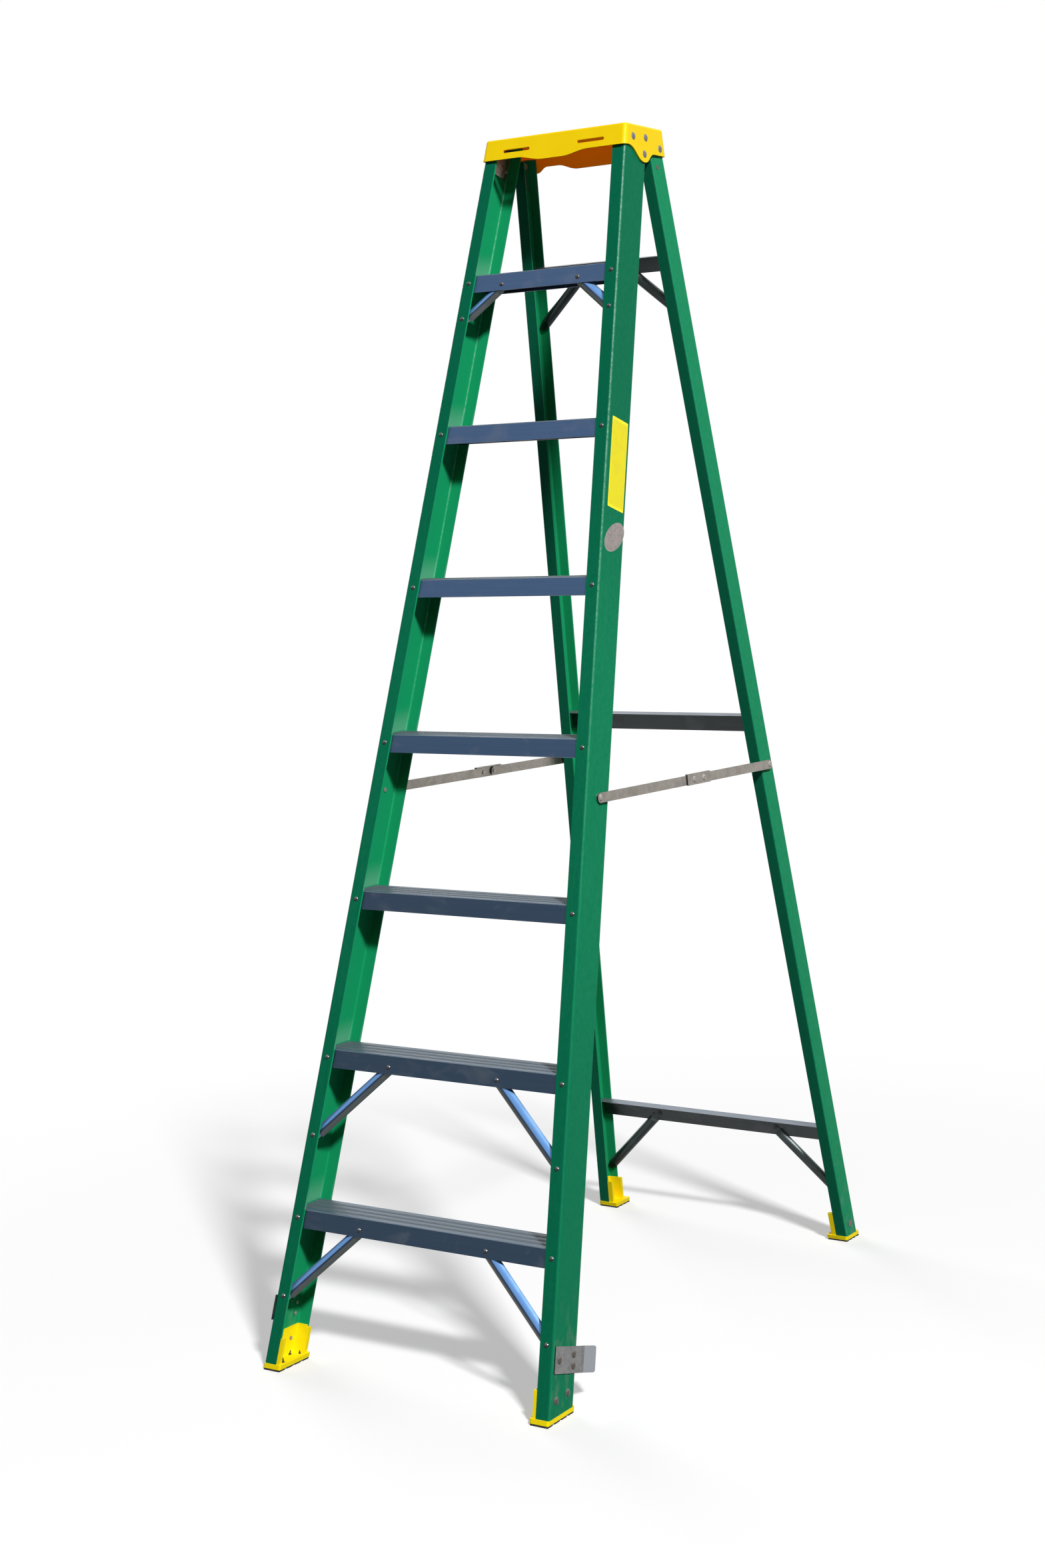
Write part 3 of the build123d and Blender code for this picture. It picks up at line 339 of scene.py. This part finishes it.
def step_finish():
    """Step aluminium with a painted reflection: aprons go from a slate of ground near the floor to a
    clearer blue of sky high up, and the treads are painted pale for the sky, with their rib crests
    rubbed bare and the sides of their ribs painted lighter against the shade in the grooves."""
    # Painted reflection: slate low down for the ground, clear blue high up for the sky.
    slate, clear_blue, clearing_heights = (0.024, 0.047, 0.079, 1), (0.054, 0.104, 0.205, 1), (0.7, 1.6)
    # Painted reflection: the treads' pale tone stands for the sky; the crests' tone is bare metal.
    tread_tone, crest_tone = (0.092, 0.134, 0.180, 1), (0.150, 0.172, 0.182, 1)
    # Painted light: the rib sides are lighter against the shade in the grooves.
    flank_light_tone = (0.22, 0.255, 0.285, 1)
    apron_metal, tread_metal = 0.7, 0.25
    material, tree, shader = new_material("step_aluminium")
    z = parts(tree, surface(tree)[0])[2]
    apron = blend_colours(tree, ramp(tree, z, *clearing_heights), slate, clear_blue)
    tones = {"Below": (0.04, 0.04, 0.042, 1), "Level": apron,
             "Above": (0.12, 0.17, 0.25, 1), "Top": (0.18, 0.22, 0.27, 1)}
    tone = use_group(tree, sky_reflection, tones)["Color"]
    tread_top, tread_pitch = tread_levels()
    treads = use_group(tree, step_treads, {"Top": tread_top, "Pitch": tread_pitch})
    tone = blend_colours(tree, treads["Tread"], tone, tread_tone)
    tone = blend_colours(tree, treads["Crest"], tone, crest_tone)
    tone = blend_colours(tree, treads["Flank"], tone, flank_light_tone)
    metal = ramp(tree, treads["Tread"], 0.0, 1.0, apron_metal, tread_metal)
    drawn_finish(tree, shader, tone, roughness=0.34, metal=metal)
    return material


sky_reflection = sky_reflection_group()
die_lines = drawn_line_group()
step_treads = tread_group()
finish_node(step_finish(), *[f"step_{number}" for number in range(1, 8)])


# Braces and rear bars: aluminium strip pressed half round, its ends flattened and riveted, and
# plain aluminium angle across the rear rails. The half-round step braces have a reflection of the
# sky painted on their upper half and of the ground on their lower half, with a dark line between.
def bright_brace():
    """Bright pressed strip with a painted reflection, its tone going from ground through a dark line to
    sky as a face turns up, and a bright highlight painted on its sheared ends, which look steeply down."""
    ground, end_glint, end_turn = (0.072, 0.086, 0.086, 1), (0.72, 0.75, 0.76, 1), (-0.62, -0.5)
    # Each turn of the painted reflection as a face turns up: where the tone begins to change, where it
    # has changed, and to what.
    turns = ((0.0, 0.12, (0.010, 0.025, 0.060, 1)),
             (0.18, 0.34, (0.14, 0.32, 0.66, 1)),
             (0.55, 0.8, (0.22, 0.40, 0.66, 1)))
    material, tree, shader = new_material("brace_aluminium")
    up = parts(tree, surface(tree)[1])[2]
    tone = ground
    for low, high, colour in turns:
        tone = blend_colours(tree, ramp(tree, up, low, high), tone, colour)
    # Painted highlight on the sheared ends.
    tone = blend_colours(tree, fall(tree, up, *end_turn), tone, end_glint)
    drawn_finish(tree, shader, tone, roughness=0.28, metal=0.45)
    return material


brace_aluminium = bright_brace()
rear_brace_aluminium = aluminium("rear_brace_aluminium", below=(0.012, 0.02, 0.02, 1),
                                 level=(0.042, 0.052, 0.050, 1), above=(0.19, 0.22, 0.22, 1),
                                 top=(0.32, 0.35, 0.36, 1), roughness=0.3, metal=0.7)
bar_aluminium = aluminium("bar_aluminium", below=(0.045, 0.043, 0.042, 1),
                          level=(0.055, 0.06, 0.062, 1), above=(0.15, 0.18, 0.22, 1),
                          top=(0.25, 0.28, 0.32, 1), roughness=0.36, metal=0.8)
for side in ("left", "right"):
    finish_node(brace_aluminium, *[f"step_{number}_brace_{side}" for number in (1, 2, 7)])
    finish_node(rear_brace_aluminium, *[f"rear_brace_{level}_{side}" for level in ("low", "high")])
finish_node(bar_aluminium, "rear_bar_low", "rear_bar_middle", "rear_bar_high")


# Spreaders, closing guides, hinge plates and backing plates: steel strip, cut and punched for its
# rivets and zinc plated, with the cloudy grey of plating that has been out in the weather.
def zinc_steel(name, pale, dark, roughness, turned):
    """Zinc plated steel, clouded between two tones, with grey bloom in patches, sheared edges painted dark
    as shade where a plate looks forwards or backwards, and a share of a painted lighter tone where it is
    bent to look forwards, for the light that falls there."""
    bloom_tone, bloom_levels, bloom_share = (0.36, 0.35, 0.33, 1), (0.45, 0.75), 0.45
    bend_light_tone, bend_turn = (0.32, 0.34, 0.375, 1), (-0.09, -0.03)
    edge_shade_tone, edge_turn = (0.03, 0.034, 0.042, 1), (0.75, 0.95)
    cloud_levels, wear_levels, dulling = (0.35, 0.7), (0.3, 0.7), 0.16
    material, tree, shader = new_material(name)
    place, facing = surface(tree)
    ny = parts(tree, facing)[1]
    cloud = noise(tree, place, scale=45.0, detail=5.0, distortion=0.8)
    bloom = noise(tree, place, scale=420.0, detail=3.0)
    wear = noise(tree, place, scale=160.0, detail=3.0)
    grain = noise(tree, place, scale=700.0)
    # Painted light: the part bent to look forwards takes a clearer, lighter tone.
    bent = ramp(tree, ny, *bend_turn, start=turned, end=0.0)
    # Painted shade: edges that look forwards or backwards are dark.
    shaded_edges = ramp(tree, calc(tree, "ABSOLUTE", ny), *edge_turn)
    tone = blend_colours(tree, ramp(tree, cloud, *cloud_levels), pale, dark)
    tone = blend_colours(tree, ramp(tree, bloom, *bloom_levels, end=bloom_share), tone, bloom_tone)
    tone = blend_colours(tree, bent, tone, bend_light_tone)
    tone = blend_colours(tree, shaded_edges, tone, edge_shade_tone)
    feed(tree, shader, {
        "Base Color": tone,
        "Roughness": ramp(tree, wear, *wear_levels, roughness, roughness + dulling),
        "Metallic": 0.92,
        "Normal": bump(tree, grain, strength=0.08, distance=0.0002)})
    return material


spreader_steel = zinc_steel("spreader_steel", pale=(0.31, 0.285, 0.25, 1), dark=(0.24, 0.22, 0.19, 1),
                            roughness=0.26, turned=0.0)
guide_steel = zinc_steel("guide_steel", pale=(0.21, 0.212, 0.212, 1), dark=(0.15, 0.152, 0.152, 1),
                         roughness=0.3, turned=0.9)
for side in ("left", "right"):
    finish_node(spreader_steel, f"spreader_front_bar_{side}", f"spreader_rear_bar_{side}",
                f"lock_plate_{side}", f"hinge_plate_{side}", f"backing_plate_{side}")
    finish_node(guide_steel, f"closing_guide_{side}")


# Rivets, pins and washers: domed steel heads, dull and dark but for the glint of the lamp, with a
# reflection painted on each dome, dark where it looks down and bright where it looks up. The large
# ones through the webs are a warmer, rustier grey, barer at the cap and on their set tails, and the
# spreaders' own are zinc plated.
def rivet_steel(name, below, level, above, top, bared=0.0):
    """Weathered steel, its tone a painted reflection set by the way each part of a dome looks. A share of
    it may be bared: bright on the set tails, which look in towards the middle, and less so on heads near the
    cap."""
    grime_tone, grime_levels, grime_share = (0.06, 0.055, 0.05, 1), (0.45, 0.7), 0.5
    bare_tone, tail_turn, cap_heights, cap_share = (0.50, 0.49, 0.46, 1), (-0.5, -0.1), (1.9, 2.1), 0.35
    weathered_metal, bare_metal, wear_levels = 0.85, 0.25, (0.3, 0.7)
    material, tree, shader = new_material(name)
    place, facing = surface(tree)
    grime = noise(tree, place, scale=600.0, detail=3.0)
    wear = noise(tree, place, scale=350.0)
    tones = {"Below": below, "Level": level, "Above": above, "Top": top}
    tone = use_group(tree, sky_reflection, tones)["Color"]
    tone = blend_colours(tree, ramp(tree, grime, *grime_levels, end=grime_share), tone, grime_tone)
    metal = weathered_metal
    if bared:
        position = parts(tree, place)
        outwards = calc(tree, "MULTIPLY", parts(tree, facing)[0], calc(tree, "SIGN", position[0]))
        tail = fall(tree, outwards, *tail_turn)
        near_cap = ramp(tree, position[2], *cap_heights, end=cap_share)
        bare = calc(tree, "MULTIPLY", calc(tree, "MAXIMUM", tail, near_cap), bared)
        bare_tail = calc(tree, "MULTIPLY", tail, bared)
        tone = blend_colours(tree, bare, tone, bare_tone)
        metal = ramp(tree, bare_tail, 0.0, 1.0, weathered_metal, bare_metal)
    feed(tree, shader, {
        "Base Color": tone,
        "Roughness": ramp(tree, wear, *wear_levels, start=0.22, end=0.36),
        "Metallic": metal})
    return material


small_rivets = rivet_steel("rivet_steel", below=(0.012, 0.012, 0.013, 1), level=(0.035, 0.036, 0.04, 1),
                           above=(0.16, 0.16, 0.165, 1), top=(0.34, 0.34, 0.34, 1))
large_rivets = rivet_steel("web_rivet_steel", below=(0.03, 0.025, 0.022, 1), level=(0.15, 0.125, 0.112, 1),
                           above=(0.34, 0.32, 0.30, 1), top=(0.42, 0.41, 0.40, 1))
bared_rivets = rivet_steel("bared_rivet_steel", below=(0.02, 0.018, 0.016, 1), level=(0.10, 0.09, 0.081, 1),
                           above=(0.24, 0.23, 0.215, 1), top=(0.30, 0.295, 0.285, 1), bared=0.75)
plated_rivets = rivet_steel("plated_rivet_steel", below=(0.12, 0.11, 0.10, 1), level=(0.36, 0.34, 0.315, 1),
                            above=(0.60, 0.58, 0.55, 1), top=(0.70, 0.69, 0.66, 1))
finish_node(small_rivets, "front_flange_rivets", "rear_flange_rivets")
finish_node(large_rivets, "rear_web_rivets", "hinge_washers")
finish_node(bared_rivets, "front_web_rivets", "hinge_pins")
finish_node(plated_rivets, "spreader_front_rivets", "spreader_front_spacers",
            "spreader_rear_tails", "spreader_rear_spacers")
for side in ("left", "right"):
    finish_node(plated_rivets, f"lock_rivets_{side}", f"spreader_end_rivet_{side}")


# Cap and shoes: moulded yellow plastic riveted over the ends of the rails, with a satin grain,
# scuffed dull in places. The cap's hollow underside is painted a deeper orange and made to shine
# faintly, for the light that bounces between its yellow walls and comes through them.
def hollow_side(tree, middle):
    """Where a face looks in towards a middle point: the normal times the place from that point."""
    looking_in = (-0.008, -0.002)
    place, facing = surface(tree)
    away = add_node(tree, "VectorMath", {0: place, 1: middle}, operation="SUBTRACT").outputs[0]
    turned_away = add_node(tree, "VectorMath", {0: away, 1: facing}, operation="DOT_PRODUCT").outputs["Value"]
    return fall(tree, turned_away, *looking_in)


def yellow_plastic(name, deep, pale, middle=None):
    """Moulded yellow plastic: a fine grain, faint flow clouds and scuffs, duller on edges that look down.
    A piece that is hollow round a middle is painted a deeper orange in there, for light bounced between
    its walls, and shines faintly, painted daylight coming through its thin wall."""
    painted_hollow_tone, no_glow, painted_glow_tone = (1.0, 0.33, 0.0, 1), (0, 0, 0, 1), (0.12, 0.024, 0.0, 1)
    scuff_tone, scuff_levels, scuff_share = (0.55, 0.40, 0.06, 1), (0.62, 0.75), 0.12
    flow_levels, dull_levels, rim_turn = (0.3, 0.7), (0.4, 0.75), (-0.9, -0.5)
    material, tree, shader = new_material(name)
    place, facing = surface(tree)
    flow = noise(tree, place, scale=18.0, detail=4.0, distortion=0.5)
    scuffs = noise(tree, place, scale=130.0, detail=6.0, distortion=1.5)
    grain = noise(tree, place, scale=1400.0)
    tone = blend_colours(tree, ramp(tree, flow, *flow_levels), deep, pale)
    if middle:
        # Painted light: inner faces of the hollow are a deeper orange and shine faintly.
        hollow = hollow_side(tree, middle)
        painted_glow = blend_colours(tree, hollow, no_glow, painted_glow_tone)
        tone = blend_colours(tree, hollow, tone, painted_hollow_tone)
        feed(tree, shader, {"Emission Color": painted_glow, "Emission Strength": 1.0})
    tone = blend_colours(tree, ramp(tree, scuffs, *scuff_levels, end=scuff_share), tone, scuff_tone)
    rim_dulling = ramp(tree, parts(tree, facing)[2], *rim_turn, start=0.5, end=0.0)
    scuff_dulling = ramp(tree, scuffs, *dull_levels, start=0.36, end=0.5)
    feed(tree, shader, {
        "Base Color": tone,
        "Roughness": calc(tree, "ADD", scuff_dulling, rim_dulling),
        "Specular IOR Level": 0.1,
        "Normal": bump(tree, grain, strength=0.1, distance=0.0002)})
    return material


low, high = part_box("top_cap")
cap_middle = ((low[0] + high[0]) / 2, (low[1] + high[1]) / 2, (low[2] + high[2]) / 2)
cap_yellow = yellow_plastic("cap_yellow", deep=(0.92, 0.637, 0.003, 1), pale=(0.94, 0.665, 0.004, 1),
                            middle=cap_middle)
shoe_yellow = yellow_plastic("shoe_yellow", deep=(0.96, 0.735, 0.004, 1), pale=(0.99, 0.81, 0.006, 1))
finish_node(cap_yellow, "top_cap")
finish_node(shoe_yellow, *[f"{leg}_shoe_{side}" for leg in ("front", "rear") for side in ("left", "right")])


# Treads under the shoes: black moulded rubber, greyed with floor dust. Three barbed stems moulded
# on each front tread are pulled up through holes in the shoe and hold the tread on.
def tread_rubber():
    """Matt black rubber with a dusty bloom."""
    black, dusty = (0.018, 0.017, 0.016, 1), (0.09, 0.082, 0.072, 1)
    dust_levels, dust_share = (0.4, 0.75), 0.5
    material, tree, shader = new_material("tread_rubber")
    place = surface(tree)[0]
    drifts = noise(tree, place, scale=120.0, detail=5.0)
    grain = noise(tree, place, scale=900.0, detail=3.0)
    dust = ramp(tree, drifts, *dust_levels, end=dust_share)
    feed(tree, shader, {
        "Base Color": blend_colours(tree, dust, black, dusty),
        "Roughness": ramp(tree, dust, 0.0, dust_share, start=0.7, end=0.92),
        "Normal": bump(tree, grain, strength=0.2, distance=0.0003)})
    return material


def on_front_rail(side, up, deep, out):
    """Points by a front rail's own measures: up along its lean, deep from its front face and out of
    its web, all in metres, on the right for side 1 and the left for side -1.
    x = half width - up tan(splay) + out, and the lean turns up and deep."""
    half_width, toe = 0.320, -0.626938
    splay, lean = radians(rail_splay), radians(front_lean)
    x = side * (half_width - up * tan(splay) + out * cos(splay))
    up = up + out * sin(splay)
    y = toe + up * sin(lean) + deep * cos(lean)
    z = up * cos(lean) - deep * sin(lean)
    return np.stack((x, y, z), -1)


def closed_mesh(name, shells):
    """A mesh of closed shells, each a grid whose rows run round it and whose first and last rows are
    one point: quads between the rows, and a fan of triangles at either end."""
    count, rows, columns = shells.shape[:3]
    each = (rows - 2) * columns + 2
    start = np.arange(count)[:, None, None] * each
    ring = start + 1 + np.arange((rows - 2) * columns).reshape(1, rows - 2, columns)
    after = np.roll(ring, -1, 2)
    quads = np.stack((ring[:, :-1], after[:, :-1], after[:, 1:], ring[:, 1:]), -1).reshape(-1, 4)
    first = np.broadcast_to(start[:, 0], ring[:, 0].shape)
    first_fan = np.stack((first, after[:, 0], ring[:, 0]), -1).reshape(-1, 3)
    last_fan = np.stack((ring[:, -1], after[:, -1], first + each - 1), -1).reshape(-1, 3)
    between = shells[:, 1:-1].reshape(count, -1, 3)
    points = np.concatenate((shells[:, :1, 0], between, shells[:, -1:, 0]), 1).reshape(-1, 3)
    faces = quads.tolist() + first_fan.tolist() + last_fan.tolist()
    mesh = bpy.data.meshes.new(name)
    mesh.from_pydata(points.tolist(), [], faces)
    mesh.validate()
    mesh.shade_smooth()
    return mesh


def add_piece(name, shells, material):
    """Puts closed shells into the scene as a piece that rides on the front frame."""
    mesh = closed_mesh(name, shells)
    mesh.materials.append(material)
    piece = bpy.data.objects.new(name, mesh)
    bpy.context.collection.objects.link(piece)
    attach(piece, "front_frame")


def tread_stems(side):
    """Barbed stems standing on a front shoe's floor. Each is turned about its own upright axis: the
    radius goes from a neck in the hole to a barb on the floor and then to a trimmed tail, and the
    axis leans a little more the higher it goes."""
    floor_level, lean, columns = 0.012, radians(front_lean), 24
    # For the three stems: metres in from the web and back from the front, share of the full height, tilt.
    across, deep, tall, tilt = np.array(((0.0309, 0.0137, 0.0275),
                                         (0.0174, 0.0553, 0.0680),
                                         (1.0, 0.85, 0.7),
                                         (0.0, 0.25, -0.05)))[:, :, None, None]
    # Rise over the floor and radius of the profile's points, in millimetres.
    profile = np.array(((-2.5, 0.0), (-2.5, 1.4), (0.2, 1.4), (0.25, 2.9), (0.9, 3.2),
                        (2.0, 3.1), (3.4, 2.5), (4.4, 1.7), (5.6, 1.35), (7.6, 1.25),
                        (9.6, 1.15), (10.6, 0.95), (11.0, 0.55), (11.0, 0.0)))
    rise, radius = profile.T[:, None, :, None] / 1000
    angle = np.linspace(0, 2 * np.pi, columns, endpoint=False)
    foot = (floor_level + deep * sin(lean)) / cos(lean)
    base = on_front_rail(side, foot, deep, -across)
    rise = rise * np.where(rise > 0, tall, 1)
    x = base[..., 0] + side * radius * np.cos(angle) - side * tilt * np.maximum(rise, 0)
    y = base[..., 1] + side * radius * np.sin(angle)
    z = base[..., 2] + rise + 0 * angle
    return np.stack((x, y, z), -1)


rubber = tread_rubber()
finish_node(rubber, *[f"{leg}_pad_{side}" for leg in ("front", "rear") for side in ("left", "right")])
for side, name in ((1, "right"), (-1, "left")):
    add_piece(f"tread_stems_{name}", tread_stems(side), rubber)


# Blank stickers on the outside of the right front rail: a yellow vinyl panel and an oval of foil,
# both cut from film and pressed onto the web.
def sticker(middle_up, middle_deep, half_long, half_wide, turn, squareness):
    """A thin closed sticker: boundary |a/A|^n + |b/B|^n = 1, walked by a = A cos^(2/n) and b = B sin^(2/n)
    so that points gather at the corners. Its rows go from the middle of the front out to the edge and
    back to the middle of the rear, which lies against the web."""
    film, gap, edge_sharpness = 0.00022, 0.00003, 24
    columns, front_rows, rear_rows = 96, 14, 5
    angle = np.linspace(0, 2 * np.pi, columns, endpoint=False)
    along = half_long * np.sign(np.cos(angle)) * np.abs(np.cos(angle)) ** (2 / squareness)
    aside = half_wide * np.sign(np.sin(angle)) * np.abs(np.sin(angle)) ** (2 / squareness)
    share = np.concatenate((np.linspace(0, 1, front_rows), np.linspace(1, 0, rear_rows)))[:, None]
    front_side = np.arange(share.size)[:, None] < front_rows
    out = gap + np.where(front_side, film * (1 - share ** edge_sharpness), 0)
    a = share * along
    b = share * aside
    up = middle_up + a * cos(turn) - b * sin(turn)
    deep = middle_deep + a * sin(turn) + b * cos(turn)
    return on_front_rail(1, up, deep, out + 0 * a)[None]


def vinyl():
    """Yellow vinyl film, faded in patches."""
    fresh, faded, fade_levels = (0.88, 0.775, 0.012, 1), (0.84, 0.725, 0.03, 1), (0.35, 0.7)
    material, tree, shader = new_material("label_vinyl")
    patches = noise(tree, surface(tree)[0], scale=35.0, detail=5.0, distortion=0.6)
    fade = ramp(tree, patches, *fade_levels)
    feed(tree, shader, {
        "Base Color": blend_colours(tree, fade, fresh, faded),
        "Roughness": ramp(tree, fade, 0.0, 1.0, start=0.28, end=0.42),
        "Specular IOR Level": 0.1})
    return material


def foil():
    """Crinkled silver foil, greyed by weather."""
    silver, greyed, grey_levels = (0.345, 0.305, 0.29, 1), (0.27, 0.235, 0.22, 1), (0.35, 0.7)
    material, tree, shader = new_material("label_foil")
    crinkles = noise(tree, surface(tree)[0], scale=110.0, detail=4.0, distortion=1.0)
    grey = ramp(tree, crinkles, *grey_levels)
    feed(tree, shader, {
        "Base Color": blend_colours(tree, grey, silver, greyed),
        "Roughness": ramp(tree, grey, 0.0, 1.0, start=0.35, end=0.55),
        "Metallic": 0.6,
        "Normal": bump(tree, grey, strength=0.15, distance=0.0004)})
    return material


panel = sticker(middle_up=1.7485, middle_deep=0.0423, half_long=0.0868, half_wide=0.0283,
                turn=0.0, squareness=48.0)
oval = sticker(middle_up=1.609, middle_deep=0.0445, half_long=0.0405, half_wide=0.0225,
               turn=radians(50), squareness=2.0)
add_piece("label_panel", panel, vinyl())
add_piece("label_oval", oval, foil())


# Floor and light: a white floor that fades into a white backdrop, a strong lamp high in front on the
# right in place of the sun, a wide weak one behind on the left, and an even surround that is white
# to look at and casts little light.
def seen_rays(tree):
    """1 for the rays by which a thing is seen, straight, mirrored or through, and 0 for the rest."""
    rays = add_node(tree, "LightPath").outputs
    straight_or_mirrored = calc(tree, "MAXIMUM", rays["Is Camera Ray"], rays["Is Glossy Ray"])
    return calc(tree, "MAXIMUM", straight_or_mirrored, rays["Is Transmission Ray"])


def floor_material():
    """White floor near the ladder, passing into plain white away from it where it is seen. It throws
    little light back up."""
    lit_by, seen_as, plain_white = (0.10, 0.10, 0.10, 1), (0.95, 0.95, 0.95, 1), (1, 1, 1, 1)
    fading_distances, near_share = (0.7, 2.4), 0.35
    material, tree, shader = new_material("studio_floor")
    seen = seen_rays(tree)
    feed(tree, shader, {"Base Color": blend_colours(tree, seen, lit_by, seen_as), "Roughness": 0.9})
    distance = add_node(tree, "VectorMath", {0: surface(tree)[0]}, operation="LENGTH").outputs["Value"]
    share = calc(tree, "MULTIPLY", seen, ramp(tree, distance, *fading_distances, start=near_share))
    white = add_node(tree, "Emission", {"Color": plain_white, "Strength": 1.0}).outputs[0]
    mixed = add_node(tree, "MixShader", {0: share, 1: shader.outputs[0], 2: white}).outputs[0]
    feed(tree, tree.nodes["Material Output"], {"Surface": mixed})
    return material


def soft_lamp(name, at, aim, size, power):
    """A square area lamp at one point, turned to another."""
    lamp = bpy.data.lights.new(name, "AREA")
    lamp.size = size
    lamp.energy = power
    made = bpy.data.objects.new(name, lamp)
    made.location = at
    made.rotation_euler = (Vector(at) - Vector(aim)).to_track_quat("Z", "Y").to_euler()
    bpy.context.collection.objects.link(made)


bpy.ops.mesh.primitive_plane_add(size=40.0)
floor = bpy.context.object
floor.name = "studio_floor"
floor.data.materials.append(floor_material())

world = bpy.data.worlds.new("studio_surround")
world.use_nodes = True
bpy.context.scene.world = world
sky = world.node_tree
light_cast = 0.04
strength = calc(sky, "MULTIPLY_ADD", seen_rays(sky), 1 - light_cast, light_cast)
feed(sky, sky.nodes["Background"], {"Color": (1, 1, 1, 1), "Strength": strength})

ladder_middle = (0, 0, 1.1)
soft_lamp("key_lamp", at=(8.70, -5.88, 10.33), aim=ladder_middle, size=1.4, power=2440.0)
soft_lamp("fill_lamp", at=(-6.6, 3.2, 3.9), aim=ladder_middle, size=4.0, power=260.0)


# Camera: in front of the ladder on its right, at eye height, where the photograph was taken from.
# Its picture is 1568 pixels wide and 2352 high, and its focal length is given in those pixels.
camera_at = (2.5777, -4.0175, 1.5921)
yaw, pitch, roll = radians(33.69), radians(-6.479), radians(-2.198)
focal_pixels, picture_height = 3648.4, 2352
ahead = np.array((-sin(yaw) * cos(pitch), cos(yaw) * cos(pitch), sin(pitch)))
level_right = np.array((cos(yaw), sin(yaw), 0.0))
level_up = np.cross(level_right, ahead)
right = cos(roll) * level_right + sin(roll) * level_up
upward = cos(roll) * level_up - sin(roll) * level_right
view_axes = np.stack((right, upward, -ahead), 1).tolist()
lens = bpy.data.cameras.new("photo_camera")
lens.sensor_fit = "VERTICAL"
lens.sensor_height = 36.0
lens.lens = focal_pixels / picture_height * lens.sensor_height
camera = bpy.data.objects.new("photo_camera", lens)
camera.matrix_world = Matrix((*[(*row, at) for row, at in zip(view_axes, camera_at)], (0, 0, 0, 1)))
bpy.context.collection.objects.link(camera)
bpy.context.scene.camera = camera
bpy.context.scene.view_settings.view_transform = "Standard"
